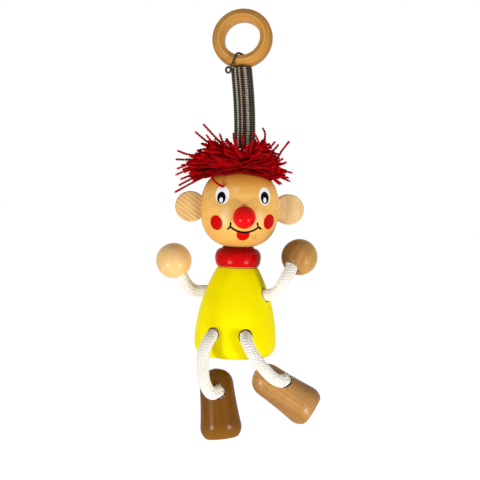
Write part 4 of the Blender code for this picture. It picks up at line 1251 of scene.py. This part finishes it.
def shoeSection(along):
    # one closed loop across the shoe, at a distance from its heel
    half = shoe["thickness"] / 2
    highest = shoe["length"] * shoe["highest"]
    height = half * (shoe["heelHeight"] + (1 - shoe["heelHeight"]) * min(along / highest, 1) ** 1.5)
    if along > highest:
        height *= 1 - shoe["toeDrop"] * ((along - highest) / (shoe["length"] - highest)) ** 2
    if along < half:
        height *= sqrt(1 - shoe["heelDrop"] * (1 - along / half) ** 2.4)
    ease = max(0.0, along - (shoe["length"] - shoe["toeRound"])) / shoe["toeRound"]
    ease = sqrt(max(0.0, 1 - ease**2)) * shoe["toeEase"] + 1 - shoe["toeEase"]
    width = shoeWidth(along) * ease
    height *= ease
    loop = []
    for i in range(shoe["sides"]):
        turn = 2 * pi * (i + 0.5) / shoe["sides"]
        above = sin(turn) > 0
        power = 2 / shoe["topRoundness" if above else "sideRoundness"]
        reach = height * (1 + shoe["waist"] if above else shoe["waist"] - 1)
        x = copysign(abs(cos(turn)) ** power * width, cos(turn))
        y = abs(sin(turn)) ** power * reach - shoe["waist"] * height
        loop.append(Vector((x, max(y, shoe["soleCut"] - half), along)) * mm)
    return loop


def shoeMesh(name):
    # close stations at both ends, so that heel and toe are round
    shares = [0.5 - 0.5 * cos(pi * i / shoe["stations"]) for i in range(shoe["stations"] + 1)]
    shares[0] = 0.004
    loops = [shoeSection(shoe["length"] * share) for share in shares]
    count = shoe["sides"]
    points = [point for loop in loops for point in loop]
    faces = [tuple(range(count))[::-1]]
    for k in range(len(loops) - 1):
        for i in range(count):
            j = (i + 1) % count
            a, b = k * count + i, k * count + j
            faces.append((a, b, b + count, a + count))
    faces.append(tuple(range(len(points) - count, len(points))))
    mesh = bpy.data.meshes.new(name)
    mesh.from_pydata(points, [], faces)
    return soften(mesh, 45)


def makeLeg(i, side):
    mouth, out = holeInBody(body["legDepth"], body["legAzimuths"][i])
    ankle = mouth + Vector(legs["offsets"][i]) * mm
    way = Vector(legs["holeWays"][i]).normalized()
    knots = [mouth - out * rope["inBody"] * mm, mouth]
    knots += [mouth + Vector(knot) * mm for knot in legs["routes"][i]]
    knots += [ankle, ankle + way * rope["inShoe"] * mm]
    path = [figureFrame @ p for p in smoothRoute(knots, out, way, rope["step"] * mm)]
    made = braidRope(f"{side}_leg_braid", path)
    finishRope(made, path, side, "leg")
    along = Vector(legs["toes"][i]).normalized()
    front = (-back - along * -along.y).normalized()
    top = Matrix.Rotation(radians(legs["rolls"][i]), 3, along) @ front
    turn = Matrix((top.cross(along), top, along)).transposed().to_4x4()
    heel = ankle + turn @ Vector((legs["asides"][i], -shoe["thickness"] / 2, -legs["holeFromHeel"][i])) * mm
    place = figureFrame @ at(heel, turn)
    finish = [wood[f"{side}ShoeBeech"], wood["cutBeech"]]
    made = addObject(f"{side}_wood_shoe", shoeMesh(f"{side}_wood_shoe"), place, finish)
    sizes = (shoe["hole"], shoe["holeDepth"], shoe["chip"], 11.0 + i)
    hole = ankle + along * shoe["holeOn"] * mm
    cutAway(made, [holeCutter("shoe_hole", hole, way, *sizes, figureFrame)])
    fix(made, f"{side}_foot", "shoe_wood", f"{side}_shoe")
    aims = (Vector((0.8, -0.3, 0.3)), Vector((0.7, -0.5, 0.4)))
    place, straight = figureFrame @ ankle, figureFrame.to_3x3() @ way
    addThreads(f"{side}_shoe_threads", place, straight, 7 + i, 18, 0.45, aims[i], f"{side}_foot")


for i, side in enumerate(("left", "right")):
    makeArm(i, side)
    makeLeg(i, side)
print("limbs are made")

# Hair: a tuft of cut yarn round the spring's foot

hair = {
    "strands": 460, "yarn": 1.5, "plies": 2, "plyTurn": 3.4, "ringStep": 0.85, "seed": 11,
    "rootNear": 6.2, "rootFar": 9.0, "reach": 25.5, "leftExtra": 8.5, "frontLess": 5.5,
    "lowTip": -7.0, "highTip": 15.5, "clearOfCoil": 8.4, "tied": 0.62, "tieHeight": 18.0, "aboveHead": 0.9,
    "combed": 0.92,  # how far the front's strands are combed to the side
    "shadeFrom": 0.5, "shadeTo": -4.5, "shadeShare": 1.0,  # the front's low strands are darker
    # painted shade deep in the tuft: strands are darker towards their roots
    "rootTone": 0.35, "tipTone": 1.0,  # a strand's brightness where it starts and where it ends
    "across": 9.0,  # how far the front's strands are strewn sideways, in the tuft's lower half
    "acrossTop": 0.2,  # the share of it in the upper half
    "reachSpread": (0.8, 1.06), "topFrom": 0.45, "topShorter": 0.42, "tipSpread": 1.2, "frontTipRise": 2.5,
    "swing": 0.16, "swept": 0.62, "sweptLess": 0.35,  # the tuft's top half is combed less
    "rise": 3.0, "topRise": 9.5, "kneeAt": 0.26, "bendAt": 0.68,
    "kneeForward": 5.0, "kneeDown": 3.8, "bendForward": 13.5, "bendInward": 8.0, "bendDown": 6.0,
    "tones": (0.45, 0.95), "plyOut": 0.24, "plyThick": 0.29,
    "fuzz": 3000, "fuzzLong": 1.8, "fuzzThick": 0.07,
}
# strands that stand out by themselves: across and up from the crown, from the tuft to the tip,
# and how far in front of the spring they stand
loneStrands = (
    (6, ((-14, 16), (-22.5, 24.5))), (5, ((-19, 14), (-27, 20))), (7, ((-17.5, 15), (-20.5, 18.5))),
    (3, ((-15.5, 11), (-23, 13))), (2, ((-30.5, 7), (-37, 9))), (0, ((-32.5, 4), (-38, 4))),
    (2, ((-29, 1.5), (-37, -1.5))), (3, ((-27.5, -0.5), (-37.5, -5))), (5, ((-22, -3.5), (-35.5, -11))),
    (7, ((-20.5, -5), (-37.5, -15))), (6, ((-11, 15), (-13, 19.5))), (11, ((-4.5, 15.5), (-5, 20))),
    (12, ((0.5, 16), (0.5, 19))), (10, ((9.5, 14.5), (6.5, 20.5))), (11, ((-2.5, 9), (-3.5, 16))),
    (10.5, ((2.5, 8), (3, 14))), (11, ((5, 10), (6, 16))), (9.5, ((-1, 8), (-4.5, 13.5))),
    (9.5, ((1, 7.5), (1, 12.5))),
    (7, ((12, 14.5), (13, 20), (11.5, 23.5))), (6, ((16, 12.5), (19, 16))), (6, ((18, 11), (21, 14.5))),
    (5, ((19, 5), (23, 11), (27, 16.5))), (6, ((18.5, 3.5), (24, 6.5))), (5, ((19.5, 2), (26, 4.5))),
    (4, ((19, 0.5), (29.5, -1.5))), (6, ((18.5, -2.5), (27.5, -4.5))), (4, ((18.5, -2.5), (28.5, -6.5))),
    (8, ((17, -4.5), (22.5, -8.5))), (18.6, ((-16, -5.5), (-13, -9), (-8.5, -11.5))),
)


def clearOfHead(point):
    # pushes a point off the head's ball and out of the spring's way, less far down where the tuft is tied
    crown = -eye["aboveHead"]
    middle = Vector((0, 0, headCentre))
    out = point - middle
    power = head["squareness"]
    side, high = Vector((out.x, out.y)).length / head["radius"], 2 * abs(out.z) / head["height"]
    share = (side**power + high**power) ** (1 / power)
    least = 1 + hair["aboveHead"] / head["radius"]
    if share < least:
        point = middle + out * least / share
    flat = Vector((point.x, point.y, 0))
    free = hair["tied"] + max(0.0, point.z - crown) / hair["tieHeight"]
    need = hair["clearOfCoil"] * min(1.0, free)
    if flat.length < need:
        flat = flat.normalized() * need
        point = Vector((flat.x, flat.y, point.z))
    return point


def plyStrand(skin, path, draw, shadeLeft):
    # plies twisted round each other
    # painted shade: darker towards the root, and darker where the tuft's front is shaded
    tone = draw.uniform(*hair["tones"]) * shadeLeft
    gain = hair["tipTone"] - hair["rootTone"]
    shades = [tone * (hair["rootTone"] + gain * (i / (len(path) - 1)) ** 2) for i in range(len(path))]
    spread, radius = hair["yarn"] * hair["plyOut"], hair["yarn"] * hair["plyThick"]
    start = draw.uniform(0, 2 * pi)
    plies = [[] for _ in range(hair["plies"])]
    for point, (side, other, far) in zip(path, carriedSides(path)):
        for k, ply in enumerate(plies):
            turn = start + 2 * pi * (far / (hair["plyTurn"] * mm) + k / hair["plies"])
            ply.append(point + (side * cos(turn) + other * sin(turn)) * spread * mm)
    for ply in plies:
        radii = [radius * mm] * len(ply)
        radii[-1] *= 0.6
        addTube(skin, ply, radii, 6, shades)


def tuftStrand(draw):
    # one strand of the tuft, from its tie on the crown to its cut end
    around = draw.uniform(0, 2 * pi)
    high = draw.random()
    left, front = max(0.0, -cos(around)), max(0.0, -sin(around))
    reach = hair["reach"] + hair["leftExtra"] * left - hair["frontLess"] * front
    top = max(0.0, high - hair["topFrom"]) / (1 - hair["topFrom"])
    reach *= draw.uniform(*hair["reachSpread"]) * (1.0 - hair["topShorter"] * top)
    tipHigh = hair["lowTip"] + (hair["highTip"] - hair["lowTip"]) * high + draw.gauss(0, hair["tipSpread"])
    tipHigh += hair["frontTipRise"] * front * (1 - high)
    root = draw.uniform(hair["rootNear"], hair["rootFar"])
    swing = around + draw.gauss(0, hair["swing"])
    crown = -eye["aboveHead"]
    way, tipWay = Vector((cos(around), sin(around), 0)), Vector((cos(swing), sin(swing), 0))
    # the front's strands run forward to the hairline and are combed to one side from there
    aside = Vector((1 if way.x + draw.gauss(-0.12, 0.3) > 0 else -1, -0.3 + draw.gauss(0, 0.12), 0))
    combed = hair["combed"] * min(1.0, 1.6 * front) * (1.0 if high < hair["swept"] else hair["sweptLess"])
    tipWay = tipWay.lerp(aside.normalized(), combed).normalized()
    drop = head["height"] / 2 - headHeight(root)
    start = way * root + up * (crown - drop + 0.4)
    rise = hair["rise"] + hair["topRise"] * high + draw.gauss(0, 0.8)
    knee = way * (root + hair["kneeAt"] * reach) + up * (crown + rise)
    bendHigh = 0.55 * rise + 0.5 * tipHigh + draw.gauss(0, 1.0)
    bend = tipWay * hair["bendAt"] * reach + up * (crown + bendHigh)
    strewn = right * draw.uniform(-1, 1) * hair["across"] * combed
    strewn = strewn * (1.0 if high < 0.5 else hair["acrossTop"])
    knee += (way * hair["kneeForward"] - up * hair["kneeDown"]) * combed + strewn
    inward = tipWay * hair["bendInward"] + up * hair["bendDown"]
    bend += (way * hair["bendForward"] - inward) * combed + strewn
    tip = tipWay * reach + up * (crown + tipHigh)
    return interpolate_bezier(start, knee, bend, tip, 34)


def loneStrand(front, spots):
    # a strand from its tie on the crown through its own spots
    crown = -eye["aboveHead"]
    line = [Vector((across, -front, crown + high)) for across, high in spots]
    first = line[0]
    flat = Vector((first.x, first.y, 0)).normalized()
    start = flat * hair["rootNear"] + up * (crown - 0.5)
    middle = start.lerp(first, 0.5) + up * (1.5 + 0.2 * max(0.0, first.z - crown))
    knots = [start, middle] + line
    return smoothRoute(knots, middle - start, knots[-1] - knots[-2], hair["ringStep"])


def inShade(point):
    # 1 for a point low at the front of the tuft, where the strands above it keep the light off
    low = (point.z + eye["aboveHead"] - hair["shadeFrom"]) / (hair["shadeTo"] - hair["shadeFrom"])
    return min(1.0, max(0.0, low)) * min(1.0, max(0.0, -point.y / 10))


def makeHair():
    draw = Random(hair["seed"])
    skin = newSkin()
    paths = [tuftStrand(draw) for _ in range(hair["strands"])]
    paths += [loneStrand(front, spots) for front, spots in loneStrands]
    for k, path in enumerate(paths):
        path = [clearOfHead(point) for point in path]
        shadeLeft = 1 - hair["shadeShare"] * inShade(path[len(path) // 2]) if k < hair["strands"] else 1
        paths[k] = [figureFrame @ (point * mm) for point in path]
        plyStrand(skin, paths[k], draw, shadeLeft)
    made = addObject("yarn_hair", skinMesh("yarn_hair", skin), None, [woolYarn])
    fix(made, "figure", "red_yarn", "hair_tuft")
    skin = newSkin()
    for _ in range(hair["fuzz"]):
        path = draw.choice(paths)
        k = draw.randrange(len(path) // 3, len(path) - 1)
        ahead = (path[k + 1] - path[k]).normalized()
        way = Vector((draw.gauss(0, 1), draw.gauss(0, 1), draw.gauss(0, 1))).normalized()
        start = path[k] + (way - ahead * way.dot(ahead)).normalized() * hair["yarn"] * 0.35 * mm
        long = draw.uniform(0.4, 1.0) * hair["fuzzLong"] * mm
        middle = start + (way + ahead).normalized() * long * 0.6
        curl = Vector((draw.gauss(0, 0.5), draw.gauss(0, 0.5), draw.gauss(0, 0.5)))
        line = interpolate_bezier(start, middle, middle, middle + (ahead + curl) * long * 0.4, 5)
        thick = hair["fuzzThick"] * mm
        addTube(skin, line, [thick, thick, thick * 0.8, thick * 0.6, thick * 0.3], 3, 0.9, capped=False)
    made = addObject("hair_fuzz", skinMesh("hair_fuzz", skin), None, [woolYarn])
    fix(made, "figure", "red_yarn")


makeHair()
print("hair is made")
